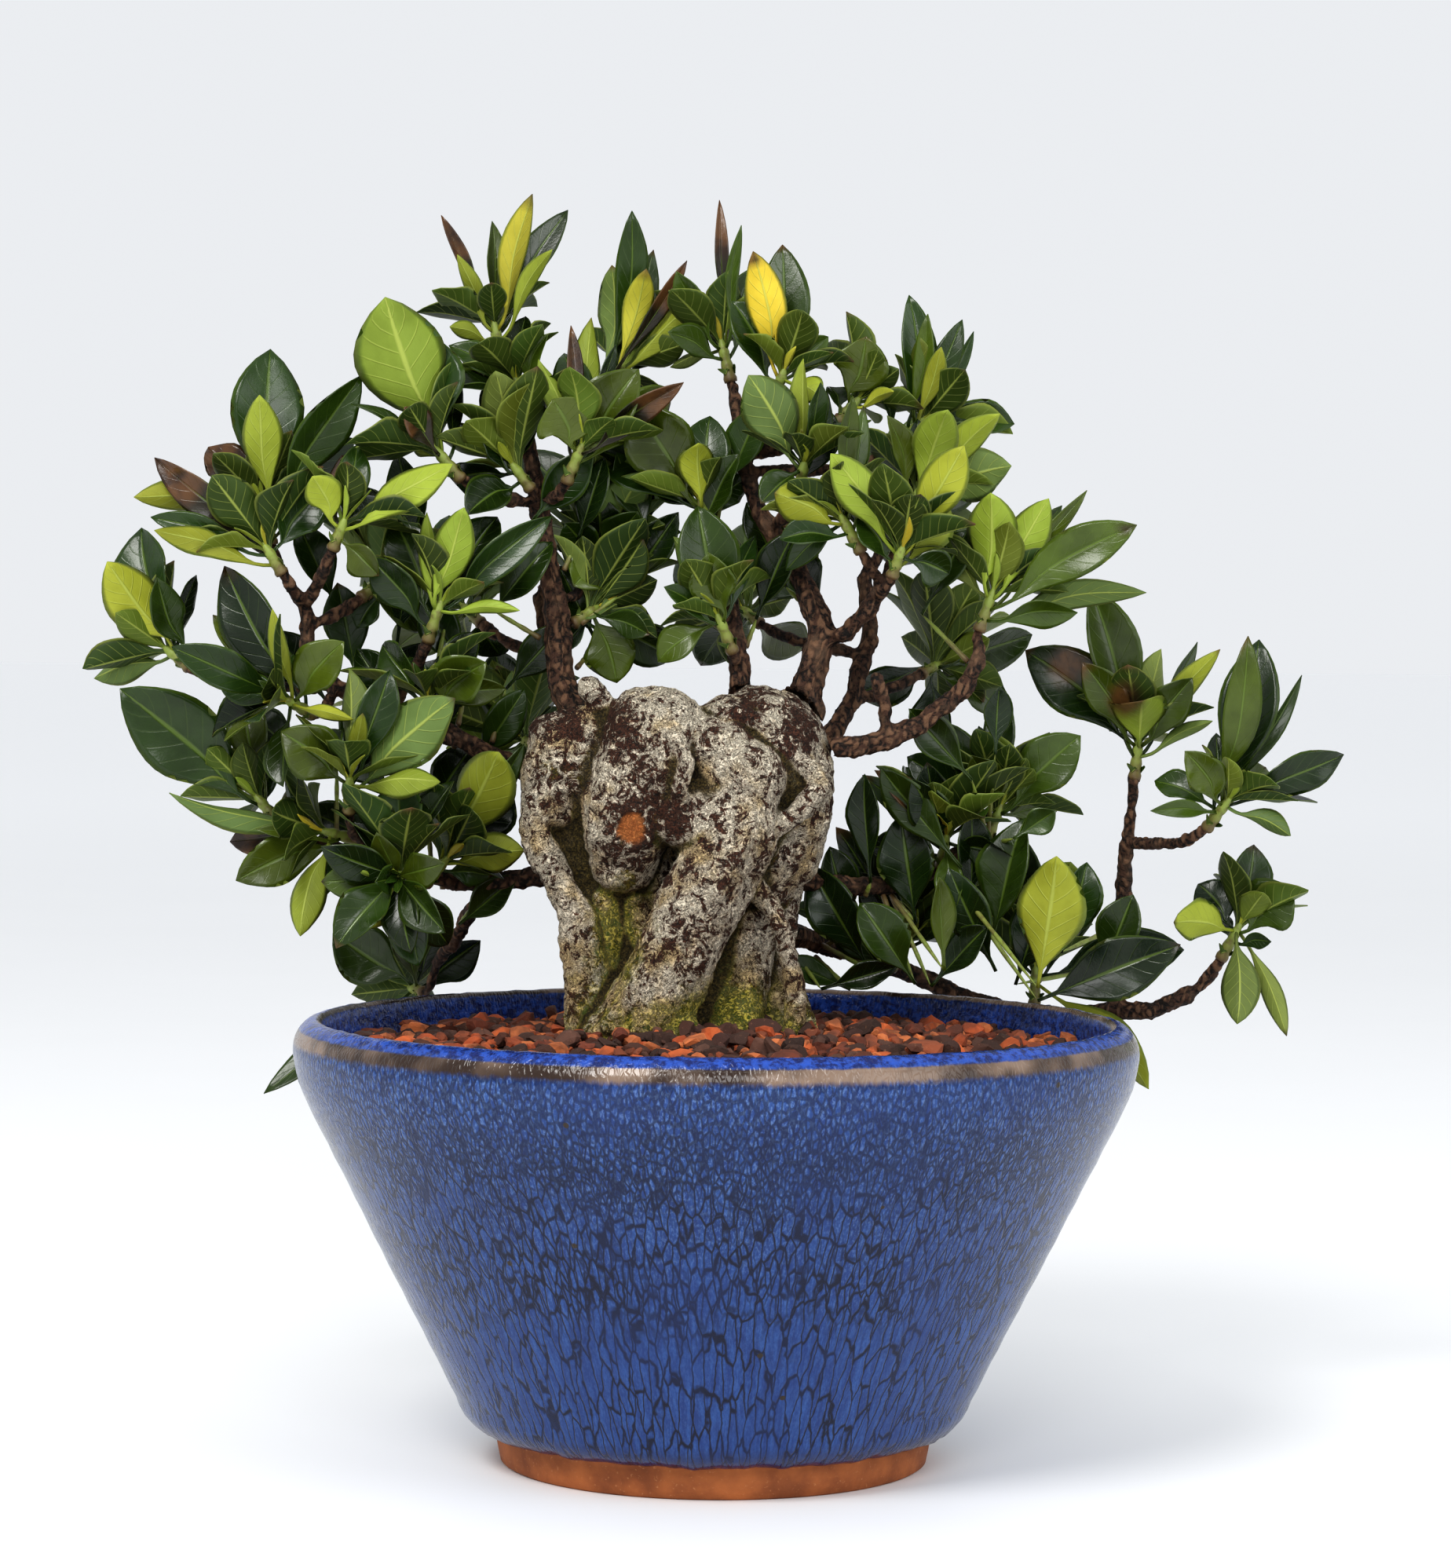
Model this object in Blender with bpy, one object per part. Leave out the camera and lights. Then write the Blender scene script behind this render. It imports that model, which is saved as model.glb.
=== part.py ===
"""A gardenia grown as a bonsai in a round, conical, blue-glazed pot.

Origin: centre of the pot's foot ring on the ground, +Z up, front towards -Y. Sizes below are in millimetres.
"""

import math

import bmesh
import bpy
from mathutils import Matrix, Vector, noise
from mathutils.bvhtree import BVHTree

for leftover in list(bpy.data.objects):
    bpy.data.objects.remove(leftover, do_unlink=True)

MM = 0.001
GAP = 0.3

# Pot, turned about Z
RIM_RADIUS = 130.3
RIM_HEIGHT = 136.5
FOOT_RADIUS = 66.0
FOOT_HEIGHT = 11.5
FOOT_RING = 9.0
WALL = 8.5
RECESS = 9.0
FLOOR = 12.0
DRAIN_RADIUS = 9.0
POT_SIDES = 40

# Drainage mesh over the hole
MESH_RADIUS = 16.0
MESH_THICKNESS = 1.2

# Soil
SOIL_DROP = 11.0
SOIL_MOUND = 6.5
SOIL_ROUGHNESS = 1.1

# Plant
CROWN_OVERHANG = 70.0
CROWN_HEIGHT = 253.5
TRUNK_GIRTH = 1.0
TRUNK_GRAIN = 6.8
TWIG_RADIUS = 1.7
TWIG_TURN = 0.37
TWIG_END = 2.5
STEM_RADIUS = 1.9
STEM_STEP = 3.4
LEAF_THICKNESS = 0.9
LEAF_ARCH = 0.06
LEAF_FOLD = 0.10

FLOOR_TOP = RECESS + FLOOR
SOIL_TOP = RIM_HEIGHT - SOIL_DROP


# ---------------------------------------------------------------- shared shaping

def to_object(name, bm, colour, roughness, smooth=True):
    """A millimetre bmesh becomes a named object in metres with its own material."""
    bmesh.ops.scale(bm, vec=(MM, MM, MM), verts=bm.verts)
    bmesh.ops.recalc_face_normals(bm, faces=bm.faces)
    mesh = bpy.data.meshes.new(name)
    bm.to_mesh(mesh)
    bm.free()
    obj = bpy.data.objects.new(name, mesh)
    bpy.context.collection.objects.link(obj)
    material = bpy.data.materials.new(name)
    material.use_nodes = True
    shader = material.node_tree.nodes["Principled BSDF"]
    shader.inputs["Base Color"].default_value = (*colour, 1)
    shader.inputs["Roughness"].default_value = roughness
    shader.inputs["Metallic"].default_value = 0.0
    mesh.materials.append(material)
    if smooth:
        mesh.shade_smooth()
        mesh.set_sharp_from_angle(angle=math.radians(40))
    return obj


def ring_faces(bm, low, high):
    """Quads between two rings of as many points."""
    count = len(low)
    for i in range(count):
        j = (i + 1) % count
        bm.faces.new((low[i], low[j], high[j], high[i]))


def turned(profile, sides):
    """A closed outline of (radius, height) turned about Z. A radius of 0 is one point on the axis."""
    bm = bmesh.new()
    rings = []
    for radius, height in profile:
        if radius == 0:
            rings.append([bm.verts.new((0, 0, height))])
            continue
        ring = []
        for i in range(sides):
            angle = 2 * math.pi * i / sides
            x, y = radius * math.cos(angle), radius * math.sin(angle)
            ring.append(bm.verts.new((x, y, height)))
        rings.append(ring)
    pairs = list(zip(rings, rings[1:]))
    if profile[0][0] and profile[-1][0]:
        pairs.append((rings[-1], rings[0]))
    for low, high in pairs:
        if len(low) == 1:
            for i in range(sides):
                bm.faces.new((low[0], high[i], high[(i + 1) % sides]))
        elif len(high) == 1:
            for i in range(sides):
                bm.faces.new((low[i], high[0], low[(i + 1) % sides]))
        else:
            ring_faces(bm, low, high)
    return bm


def tube(bm, path, sides, turn=0.0):
    """A tapering round bar through (point, radius) pairs, with flat ends."""
    points = [Vector(point) for point, _ in path]
    normal = None
    rings = []
    for i, (_, radius) in enumerate(path):
        ahead = points[min(i + 1, len(points) - 1)] - points[max(i - 1, 0)]
        tangent = ahead.normalized()
        if normal is None:
            normal = tangent.orthogonal().normalized()
        normal = (normal - tangent * normal.dot(tangent)).normalized()
        across = tangent.cross(normal)
        ring = []
        for k in range(sides):
            angle = 2 * math.pi * k / sides + turn
            offset = normal * math.cos(angle) + across * math.sin(angle)
            ring.append(bm.verts.new(points[i] + offset * radius))
        rings.append(ring)
    for low, high in zip(rings, rings[1:]):
        ring_faces(bm, low, high)
    bm.faces.new(list(reversed(rings[0])))
    bm.faces.new(rings[-1])


def evaluated_mesh(obj):
    graph = bpy.context.evaluated_depsgraph_get()
    graph.update()
    return bpy.data.meshes.new_from_object(obj.evaluated_get(graph))


def bake(obj):
    """The object's modifiers become its mesh."""
    baked = evaluated_mesh(obj)
    obj.modifiers.clear()
    obj.data = baked


def combine(obj, other, operation):
    """Boolean of obj with another object, which is then removed."""
    modifier = obj.modifiers.new(operation, "BOOLEAN")
    modifier.operation = operation
    modifier.solver = "EXACT"
    modifier.object = other
    bake(obj)
    bpy.data.objects.remove(other, do_unlink=True)


def cut_clear_of(obj, body, gap):
    """Cuts from obj the body grown by a gap."""
    grown = bpy.data.objects.new("grown", body.data.copy())
    bpy.context.collection.objects.link(grown)
    bm = bmesh.new()
    bm.from_mesh(grown.data)
    bm.normal_update()
    moved = [vert.co + vert.normal * gap * MM * min(3.0, vert.calc_shell_factor()) for vert in bm.verts]
    for vert, point in zip(bm.verts, moved):
        vert.co = point
    bm.to_mesh(grown.data)
    bm.free()
    combine(obj, grown, "DIFFERENCE")


def keep_largest(obj):
    """Drops slivers that a cut leaves beside the main body."""
    bm = bmesh.new()
    bm.from_mesh(obj.data)
    left = set(bm.verts)
    groups = []
    while left:
        stack = [left.pop()]
        group = set(stack)
        while stack:
            for edge in stack.pop().link_edges:
                for vert in edge.verts:
                    if vert in left:
                        left.discard(vert)
                        group.add(vert)
                        stack.append(vert)
        groups.append(group)
    groups.sort(key=len, reverse=True)
    for group in groups[1:]:
        bmesh.ops.delete(bm, geom=list(group), context="VERTS")
    bm.to_mesh(obj.data)
    bm.free()


# ---------------------------------------------------------------- pot

CONE_LOW = (FOOT_RADIUS + 14, FOOT_HEIGHT + 9)
CONE_HIGH = (RIM_RADIUS - 4.2, RIM_HEIGHT - 25)
INNER_LOW = (CONE_LOW[0] - WALL, FLOOR_TOP + 7)
INNER_HIGH = (CONE_HIGH[0] - WALL, CONE_HIGH[1])
INNER_LIP = (RIM_RADIUS - WALL - 0.7, RIM_HEIGHT - 4)


def inner_radius(height):
    """Radius of the pot's inner wall at a height above its floor."""
    marks = ((INNER_LOW[0] - 8, FLOOR_TOP), INNER_LOW, INNER_HIGH, INNER_LIP)
    for (r0, z0), (r1, z1) in zip(marks, marks[1:]):
        if height <= z1:
            return r0 + (r1 - r0) * (height - z0) / (z1 - z0)
    return INNER_LIP[0]


def make_pot():
    profile = (
        (DRAIN_RADIUS, FLOOR_TOP),
        (DRAIN_RADIUS, RECESS),
        (FOOT_RADIUS - FOOT_RING - 3, RECESS),
        (FOOT_RADIUS - FOOT_RING, 0),
        (FOOT_RADIUS, 0),
        (FOOT_RADIUS + 2, FOOT_HEIGHT - 0.5),
        (FOOT_RADIUS + 6.5, FOOT_HEIGHT + 0.5),
        (FOOT_RADIUS + 11.5, FOOT_HEIGHT + 4.5),
        CONE_LOW,
        CONE_HIGH,
        (RIM_RADIUS - 0.8, RIM_HEIGHT - 16),
        (RIM_RADIUS, RIM_HEIGHT - 10),
        (RIM_RADIUS - 0.5, RIM_HEIGHT - 4),
        (RIM_RADIUS - 3, RIM_HEIGHT - 0.8),
        (RIM_RADIUS - WALL + 1.6, RIM_HEIGHT),
        INNER_LIP,
        INNER_HIGH,
        INNER_LOW,
        (INNER_LOW[0] - 8, FLOOR_TOP),
    )
    return to_object("pot", turned(profile, POT_SIDES), (0.05, 0.10, 0.33), 0.2)


def make_drainage():
    low = FLOOR_TOP + GAP
    high = low + MESH_THICKNESS
    profile = ((0, low), (MESH_RADIUS, low), (MESH_RADIUS, high), (0, high))
    return to_object("drainage_mesh", turned(profile, 24), (0.03, 0.03, 0.03), 0.6, smooth=False)


def make_soil():
    edge = inner_radius(SOIL_TOP) - GAP * 1.3
    well = MESH_RADIUS + 1
    well_top = FLOOR_TOP + MESH_THICKNESS + 2 * GAP
    rings = (0.96, 0.76, 0.52, 0.26)
    profile = [
        (0, well_top),
        (well, well_top),
        (well + 1, FLOOR_TOP + GAP),
        (INNER_LOW[0] - 8 - GAP, FLOOR_TOP + GAP),
        (INNER_LOW[0] - 1.5 * GAP, INNER_LOW[1]),
        (INNER_HIGH[0] - 1.5 * GAP, INNER_HIGH[1]),
        (edge, SOIL_TOP - 0.5),
    ]
    profile += [(edge * share, SOIL_TOP + SOIL_MOUND * (1 - share**2)) for share in rings]
    profile.append((0, SOIL_TOP + SOIL_MOUND))
    bm = turned(profile, POT_SIDES)
    for vert in bm.verts:
        if vert.co.z > SOIL_TOP - 0.1:
            vert.co.z += SOIL_ROUGHNESS * noise.noise(vert.co / 9.0)
    return to_object("soil", bm, (0.22, 0.08, 0.04), 0.95)


# ---------------------------------------------------------------- plant: places

# The sizes that the plant's points below are written for
DRAWN_RIM_RADIUS = 130.3
DRAWN_RIM_HEIGHT = 136.5
DRAWN_OVERHANG = 70.0
DRAWN_CROWN = 253.5
SPREAD = RIM_RADIUS / DRAWN_RIM_RADIUS


def place(x, y, z):
    """A point of the plant. The crown opens out towards its back, and it follows the pot's rim."""
    opening = 1 + y / 1300
    x, z = x * opening, 250 + (z - 250) * opening
    radius = math.hypot(x, y)
    reach = radius * SPREAD
    if radius > DRAWN_RIM_RADIUS:
        reach = RIM_RADIUS + (radius - DRAWN_RIM_RADIUS) * CROWN_OVERHANG / DRAWN_OVERHANG
    stretch = reach / radius if radius else 1.0
    height = RIM_HEIGHT + z - DRAWN_RIM_HEIGHT
    if z > DRAWN_RIM_HEIGHT:
        height = RIM_HEIGHT + (z - DRAWN_RIM_HEIGHT) * CROWN_HEIGHT / DRAWN_CROWN
    return Vector((x * stretch, y * stretch, height))


# Trunk: lobes as chains of (x, y, z, radius)
TRUNK_LOBES = (
    # main front limb, from the shoulder down to its flared foot
    ((14, 12, 213, 15), (6, 6, 196, 13), (-6, 1, 168, 11.5), (-14, 1, 146, 12.5), (-18, 4, 130, 15),
     (-18, 8, 116, 15)),
    # domed crown of the trunk, and the lobe at its upper left
    ((-23, 12, 221, 18.5), (-30, 12, 206, 17), (-33, 14, 188, 14)),
    ((-50, 17, 220, 11.5), (-53, 17, 208, 10.5), (-52, 17, 196, 9)),
    # bulge at the right rear
    ((16, 26, 221, 19), (18, 27, 206, 18), (16, 28, 190, 14.5), (12, 28, 176, 11)),
    ((6, 18, 226, 15), (-6, 20, 218, 15)),
    # left root, curving down from the left lobe
    ((-54, 14, 196, 7.5), (-49, 12, 182, 6), (-43, 11, 168, 6), (-41, 10, 152, 7), (-40, 10, 138, 8),
     (-38, 12, 122, 9)),
    # back of the trunk, behind the mossy recess
    ((-24, 26, 190, 15), (-25, 29, 168, 13), (-22, 30, 148, 14), (-18, 30, 130, 17), (-14, 28, 114, 16)),
    # right root and its spread foot
    ((10, 20, 186, 9), (10, 16, 164, 7.5), (8, 13, 146, 8), (5, 12, 132, 9.5), (2, 13, 118, 11)),
)
TRUNK_KNOB = ((-34, 14, 232, 5), (-39, 11, 238, 5), (-41, 10, 240, 4.6))
THIN_ROOTS = (
    ((12, 10, 180, 4.2), (17.5, 6, 170, 3.6), (22, 4, 157, 3.4), (24, 4, 144, 3.6), (22, 8, 128, 4.4),
     (15, 12, 118, 5)),
    ((29, 12, 216, 3.4), (31, 7, 210, 3.2), (27, 2, 203, 3.2), (20, 1, 198, 3.4), (13, 4, 194, 4)),
)
# Roots spreading in the soil
SOIL_ROOTS = (
    ((-20, 10, 122, 9), (-48, -8, 108, 6), (-74, -22, 96, 3.5)),
    ((0, 14, 120, 8), (26, 0, 104, 6), (52, -14, 90, 3)),
    ((-16, 28, 118, 9), (-24, 54, 104, 6), (-34, 78, 92, 3)),
    ((4, 20, 118, 7), (34, 36, 102, 5), (58, 52, 92, 3)),
)

# Limbs: paths of (x, y, z, radius), the first from inside the trunk outwards, the others from inside the limb
LIMBS = {
    "limb_low_left": (
        ((-40, 26, 183, 5), (-62, 38, 179, 4.4), (-80, 42, 178, 4), (-96, 34, 182, 3.4), (-106, 26, 186, 3)),
        ((-68, 40, 178.5, 3), (-76, 56, 170, 2.6), (-82, 74, 159, 2.4), (-87, 87, 153, 2.2)),
    ),
    "limb_upper_left": (
        ((-48, 26, 209, 5.4), (-64, 32, 214, 5), (-83, 32, 224, 4.4), (-102, 28, 231, 4),
         (-118, 24, 238, 3.8), (-127, 24, 250, 3.4), (-128, 24, 262, 3)),
    ),
    "limb_spire": (
        ((-42, 26, 226, 8), (-49, 34, 240, 7.4), (-50, 38, 258, 6), (-54, 41, 280, 5), (-57, 42, 300, 4),
         (-61, 43, 318, 3.4), (-65, 44, 332, 2.8)),
    ),
    "limb_middle": (
        ((6, 26, 230, 5), (6, 30, 246, 4.6), (3, 34, 262, 4), (2, 42, 276, 3.4)),
    ),
    "limb_top_right": (
        ((24, 30, 230, 9), (29, 33, 246, 7.6), (31, 35, 258, 6.4), (24, 40, 274, 4.8), (12, 46, 292, 4),
         (6, 50, 310, 3.2)),
        ((31, 34, 252, 4), (40, 29, 257, 3.6), (46, 25, 264, 3.2), (50, 24, 271, 2.8)),
    ),
    "limb_right": (
        ((26, 24, 221, 5), (42, 24, 221, 4.6), (51, 25, 223, 5.6), (62, 27, 228, 4), (76, 29, 240, 3.6),
         (80, 30, 250, 3)),
        ((51, 25, 223, 3), (51, 23, 233, 2.6), (48, 20, 244, 2.2)),
    ),
    "limb_back_left": (
        ((-22, 34, 205, 6.4), (-30, 52, 214, 5.4), (-42, 70, 228, 4.4), (-52, 80, 246, 3.8),
         (-56, 84, 268, 3.2)),
    ),
    "limb_back_right": (
        ((18, 38, 208, 6), (30, 60, 218, 5), (40, 74, 234, 4.2), (46, 82, 254, 3.6), (44, 86, 274, 3)),
    ),
    "limb_right_low": (
        ((14, 32, 184, 5.2), (34, 46, 178, 4.6), (52, 56, 178, 4), (68, 60, 184, 3.4), (76, 60, 190, 2.8)),
    ),
    "limb_cascade": (
        ((8, 34, 166, 6), (30, 66, 161, 5.4), (44, 94, 157, 5), (52, 112, 154, 4.8), (62, 118, 150.5, 4.6),
         (75, 119, 144, 4.6), (92, 114, 139, 4.6), (110, 104, 138, 4.6), (123, 94, 140, 4.6),
         (134, 86, 140, 4.2), (147, 80, 146, 3.4)),
        ((122, 94, 140, 4.2), (125, 80, 160, 3.8), (125, 72, 178, 3.4), (126, 66, 192, 3)),
    ),
}

# Leafy shoots: limb, place of the leaf whorl, then each leaf's
# (tip x, tip z, width, reach from the whorl in y, roll in degrees, tone)
SHOOTS = {
    "shoot_far_left": ("limb_upper_left", (-169, 30, 248), (
        (-189, 276, 15, -10, 12, 3), (-180, 287, 17, 12, -15, 1), (-172, 271, 10, 2, 30, 1),
        (-161, 272, 7, 10, 55, 0), (-193, 240, 9, 6, 20, 5))),
    "shoot_left_mid": ("limb_upper_left", (-132, 5, 233), (
        (-169, 250, 11, -12, 10, 1), (-138, 262, 5, -6, 0, 3), (-153, 275, 16, 10, -12, 0),
        (-157, 261, 7, 16, 20, 2), (-116, 252, 13, -8, -10, 2), (-132, 248, 6, 8, 25, 1),
        (-113, 228, 4, -14, 0, 3), (-134, 207, 10, -14, 30, 1))),
    "shoot_left_front": ("limb_low_left", (-114, -10, 208), (
        (-135, 224, 15, -8, 10, 2), (-86, 209, 9, -14, -35, 3), (-101, 243, 11, -4, 15, 1),
        (-113, 243, 10, 10, -25, 5), (-81, 235, 16, -12, -12, 5), (-110, 230, 5, -10, 5, 3))),
    "shoot_big_leaf": ("limb_low_left", (-141, 20, 202), (
        (-185, 237, 21, -8, 8, 1), (-148, 240, 11, 8, 10, 2), (-137, 213, 9, 16, -20, 1))),
    "shoot_left_low": ("limb_low_left", (-120, 12, 193), (
        (-170, 202, 8, -6, 40, 5), (-151, 190, 10, 8, 15, 6), (-149, 178, 13, -8, -10, 2),
        (-129, 161, 10, -12, 18, 3), (-142, 194, 4, -12, 0, 2), (-128, 172, 9, 12, -25, 1))),
    "shoot_left_under": ("limb_low_left", (-98, -2, 180), (
        (-113, 186, 7, -8, 30, 3), (-105, 178, 8, -14, -12, 1), (-112, 197, 8, 2, 35, 0),
        (-117, 165, 8, 8, -35, 0), (-112, 163, 10, -10, 0, 3), (-92, 152, 12, -6, 15, 1),
        (-83, 158, 11, 8, -20, 0))),
    "shoot_rim_left": ("limb_low_left", (-94, 100, 145), (
        (-119, 162, 17, 6, 0, 1), (-98, 171, 12, 0, 22, 2), (-84, 168, 14, 14, -15, 0),
        (-73, 160, 12, 10, 20, 0), (-140, 112, 9, -4, 30, 1))),
    "shoot_left_lower_inner": ("limb_low_left", (-85, 26, 184), (
        (-60, 188, 11, -6, 0, 3), (-64, 208, 15, 10, 15, 0), (-72, 206, 9, 16, -30, 1),
        (-70, 180, 8, 4, 20, 1), (-67, 219, 17, -22, -8, 3), (-59, 219, 8, -2, 30, 1))),
    "shoot_bud": ("limb_upper_left", (-87, 14, 262), (
        (-79, 294, 11, -9, 5, 3), (-92, 292, 6, -7, 30, 3), (-101, 290, 17, 10, 12, 1),
        (-108, 277, 12, 2, -20, 1), (-52, 291, 10, 2, 12, 1), (-69, 292, 13, 14, -18, 0),
        (-62, 262, 4, -8, 0, 3))),
    "shoot_round_leaf": ("limb_upper_left", (-90, 12, 233), (
        (-72, 246, 14, -8, 0, 2), (-66, 238, 8, 4, 20, 2), (-105, 251, 13, 10, -25, 1),
        (-75, 255, 9, 14, 10, 0))),
    "shoot_upper_left": ("limb_upper_left", (-141, 24, 292), (
        (-139, 342, 19, 10, 10, 1), (-142, 328, 11, -8, -6, 3), (-110, 333, 13, -2, 22, 1),
        (-158, 311, 13, 12, 25, 6), (-181, 296, 9, -10, -12, 3), (-113, 315, 12, 16, -15, 0))),
    "shoot_upper_left_low": ("limb_upper_left", (-139, 12, 279), (
        (-174, 307, 10, 16, -15, 6), (-176, 290, 7, 2, 15, 1), (-175, 285, 8, -10, 30, 3),
        (-122, 299, 13, 8, 15, 1), (-150, 296, 11, 18, 20, 0))),
    "shoot_cut_stub": ("limb_upper_left", (-117, 8, 287), (
        (-126, 303, 10, -10, 0, 3), (-82, 306, 11, -8, -20, 3), (-112, 313, 9, 10, 10, 1),
        (-106, 272, 10, -2, 25, 2), (-117, 309, 10, 18, -30, 6))),
    "shoot_mid_left": ("limb_upper_left", (-106, 36, 270), (
        (-110, 300, 15, 6, 10, 0), (-96, 300, 12, 14, -20, 0), (-88, 282, 9, -6, 15, 1),
        (-112, 256, 9, 0, 20, 1), (-92, 255, 9, 12, -20, 2))),
    "shoot_big_light_leaf": ("limb_spire", (-87, 22, 310), (
        (-104, 358, 25, -10, 5, 3), (-90, 346, 20, 10, -16, 1), (-97, 324, 9, -14, 35, 6),
        (-113, 327, 5, -4, 50, 1), (-95, 318, 9, 14, 0, 3), (-80, 333, 6, 18, 40, 0))),
    "shoot_spire_tip": ("limb_spire", (-70, 42, 348), (
        (-59, 390, 8, -8, 20, 4), (-48, 385, 9, 10, -18, 0), (-53, 374, 5, -12, 15, 3),
        (-70, 382, 6, 4, 25, 2), (-87, 383, 4, 4, 10, 6), (-82, 371, 5, -8, -15, 3),
        (-70, 360, 10, 12, 0, 2), (-84, 349, 5, -10, 10, 3))),
    "shoot_spire_mid": ("limb_spire", (-63, 34, 331), (
        (-84, 344, 8, -2, 25, 1), (-61, 353, 8, 14, -20, 0), (-54, 347, 7, -8, -25, 2),
        (-83, 331, 9, -10, 60, 0), (-80, 339, 12, 14, 10, 2), (-74, 322, 10, 4, 30, 1))),
    "shoot_spire_low": ("limb_spire", (-63, 32, 305), (
        (-70, 328, 11, 12, 15, 1), (-84, 302, 12, 4, -30, 0), (-74, 318, 9, -6, 40, 0),
        (-78, 291, 12, -8, 20, 0))),
    "shoot_crown_left": ("limb_spire", (-44, 26, 311), (
        (-52, 327, 17, -8, 0, 2), (-12, 332, 8, -10, 25, 6), (-57, 339, 7, 0, 30, 3),
        (-47, 350, 5, 4, 20, 6), (-49, 343, 11, 14, 15, 1), (-33, 344, 6, 4, 45, 0),
        (-26, 336, 16, 10, -6, 2), (-41, 352, 9, 18, 10, 3), (-14, 330, 13, 22, 15, 2))),
    "shoot_crown_top": ("limb_spire", (-32, 62, 336), (
        (-28, 385, 9, -6, 12, 1), (-34, 368, 11, 4, -20, 5), (-22, 373, 9, 12, 15, 1),
        (-24, 368, 8, -12, 10, 4), (-11, 369, 5, -6, 30, 6), (-10, 357, 9, -12, -25, 3),
        (-16, 347, 8, 10, 30, 0))),
    "shoot_inner_left": ("limb_spire", (-37, 50, 279), (
        (-38, 297, 12, -8, 10, 0), (-48, 289, 12, -4, -20, 1), (-26, 292, 12, -12, 20, 1),
        (-22, 301, 11, 8, -15, 0), (-45, 270, 12, -10, 0, 2), (-18, 283, 10, 10, 25, 0))),
    "shoot_inner_low": ("limb_spire", (-40, 44, 262), (
        (-22, 255, 8, -12, 15, 1), (-32, 240, 14, 0, 0, 2), (-14, 247, 13, 12, 10, 1),
        (-52, 247, 9, -6, 30, 1), (-24, 268, 8, 6, 20, 5))),
    "shoot_olive": ("limb_middle", (-6, 38, 294), (
        (-27, 325, 19, -6, 0, 2), (-40, 313, 16, 6, 10, 1), (-20, 303, 9, 14, -15, 0),
        (-4, 323, 14, 8, 0, 1), (-8, 315, 10, -12, 8, 3), (8, 304, 8, 12, 25, 1))),
    "shoot_fork": ("limb_middle", (0, 18, 259), (
        (-7, 295, 17, 2, 12, 1), (-4, 280, 13, -10, -8, 2), (-17, 270, 8, -6, 25, 1),
        (-20, 247, 10, 2, 20, 2), (-14, 285, 10, 12, -25, 5), (11, 286, 7, 8, 30, 1))),
    "shoot_top": ("limb_top_right", (0, 56, 343), (
        (-15, 366, 9, -8, -18, 2), (-1, 389, 4, 4, 10, 6), (5, 381, 4, -4, 25, 2),
        (-17, 348, 9, -12, 30, 2), (-16, 337, 4, 4, 20, 5), (9, 368, 11, 6, 12, 1))),
    "shoot_yellow_leaf": ("limb_top_right", (18, 34, 334), (
        (9, 373, 11, -10, 8, 4), (18, 375, 14, 8, -12, 1), (3, 358, 13, 0, 15, 1),
        (32, 347, 8, 8, 20, 2), (30, 329, 8, -12, 0, 3))),
    "shoot_crown_centre": ("limb_top_right", (25, 18, 306), (
        (8, 335, 15, -8, 4, 5), (24, 340, 7, 2, 35, 3), (30, 333, 7, -6, 40, 1),
        (12, 296, 9, -10, 20, 1), (33, 331, 7, 8, 30, 0))),
    "shoot_notched": ("limb_top_right", (40, 46, 326), (
        (44, 347, 15, -6, -5, 2), (50, 340, 6, 4, 20, 5), (33, 332, 7, 8, 30, 1),
        (53, 331, 4, -8, 10, 3))),
    "shoot_pair": ("limb_top_right", (38, 14, 290), (
        (16, 299, 12, -10, 5, 3), (40, 329, 6, -4, 25, 2), (45, 326, 6, 4, 35, 2),
        (45, 316, 7, 10, -15, 1), (18, 285, 9, -4, 25, 1), (20, 275, 7, 8, 10, 1))),
    "shoot_right_front": ("limb_top_right", (55, 10, 280), (
        (75, 314, 12, -10, -10, 3), (33, 311, 12, -8, 8, 3), (70, 296, 12, 4, -25, 3),
        (70, 274, 11, 10, 10, 1), (42, 292, 12, 6, 20, 1))),
    "shoot_right_upper": ("limb_top_right", (60, 34, 298), (
        (85, 325, 9, -10, 20, 3), (89, 308, 15, 2, 8, 5), (51, 323, 8, -6, 28, 2),
        (69, 326, 12, -12, 0, 3), (60, 322, 9, 8, 30, 0))),
    "shoot_right_top": ("limb_top_right", (60, 52, 320), (
        (57, 360, 10, 6, 10, 1), (62, 354, 6, -6, -25, 2), (74, 353, 8, -2, 20, 1),
        (67, 344, 6, -12, 0, 3), (78, 349, 5, 8, 40, 1), (90, 321, 11, 4, -15, 1),
        (45, 336, 5, -8, 30, 0))),
    "shoot_right": ("limb_right", (83, 30, 267), (
        (83, 300, 14, -8, 0, 3), (101, 298, 12, -4, -12, 3), (105, 296, 6, 12, 10, 1),
        (113, 300, 5, 8, 30, 2), (128, 290, 13, -8, -8, 2), (63, 285, 10, 10, 15, 5),
        (130, 270, 8, 10, 15, 5), (110, 263, 9, -6, 30, 2))),
    "shoot_dark_right": ("limb_cascade", (129, 60, 222), (
        (94, 251, 18, 0, 6, 0), (130, 236, 16, -15, 0, 3), (112, 247, 11, -12, -10, 2),
        (117, 256, 10, 10, 20, 1), (115, 271, 15, -6, 6, 2), (146, 243, 12, -12, -6, 2),
        (154, 252, 7, -2, 12, 3), (136, 252, 9, 14, 20, 5), (148, 254, 5, 10, 30, 1),
        (152, 230, 4, -4, 0, 5))),
    "shoot_far_right": ("limb_cascade", (156, 34, 204), (
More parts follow.
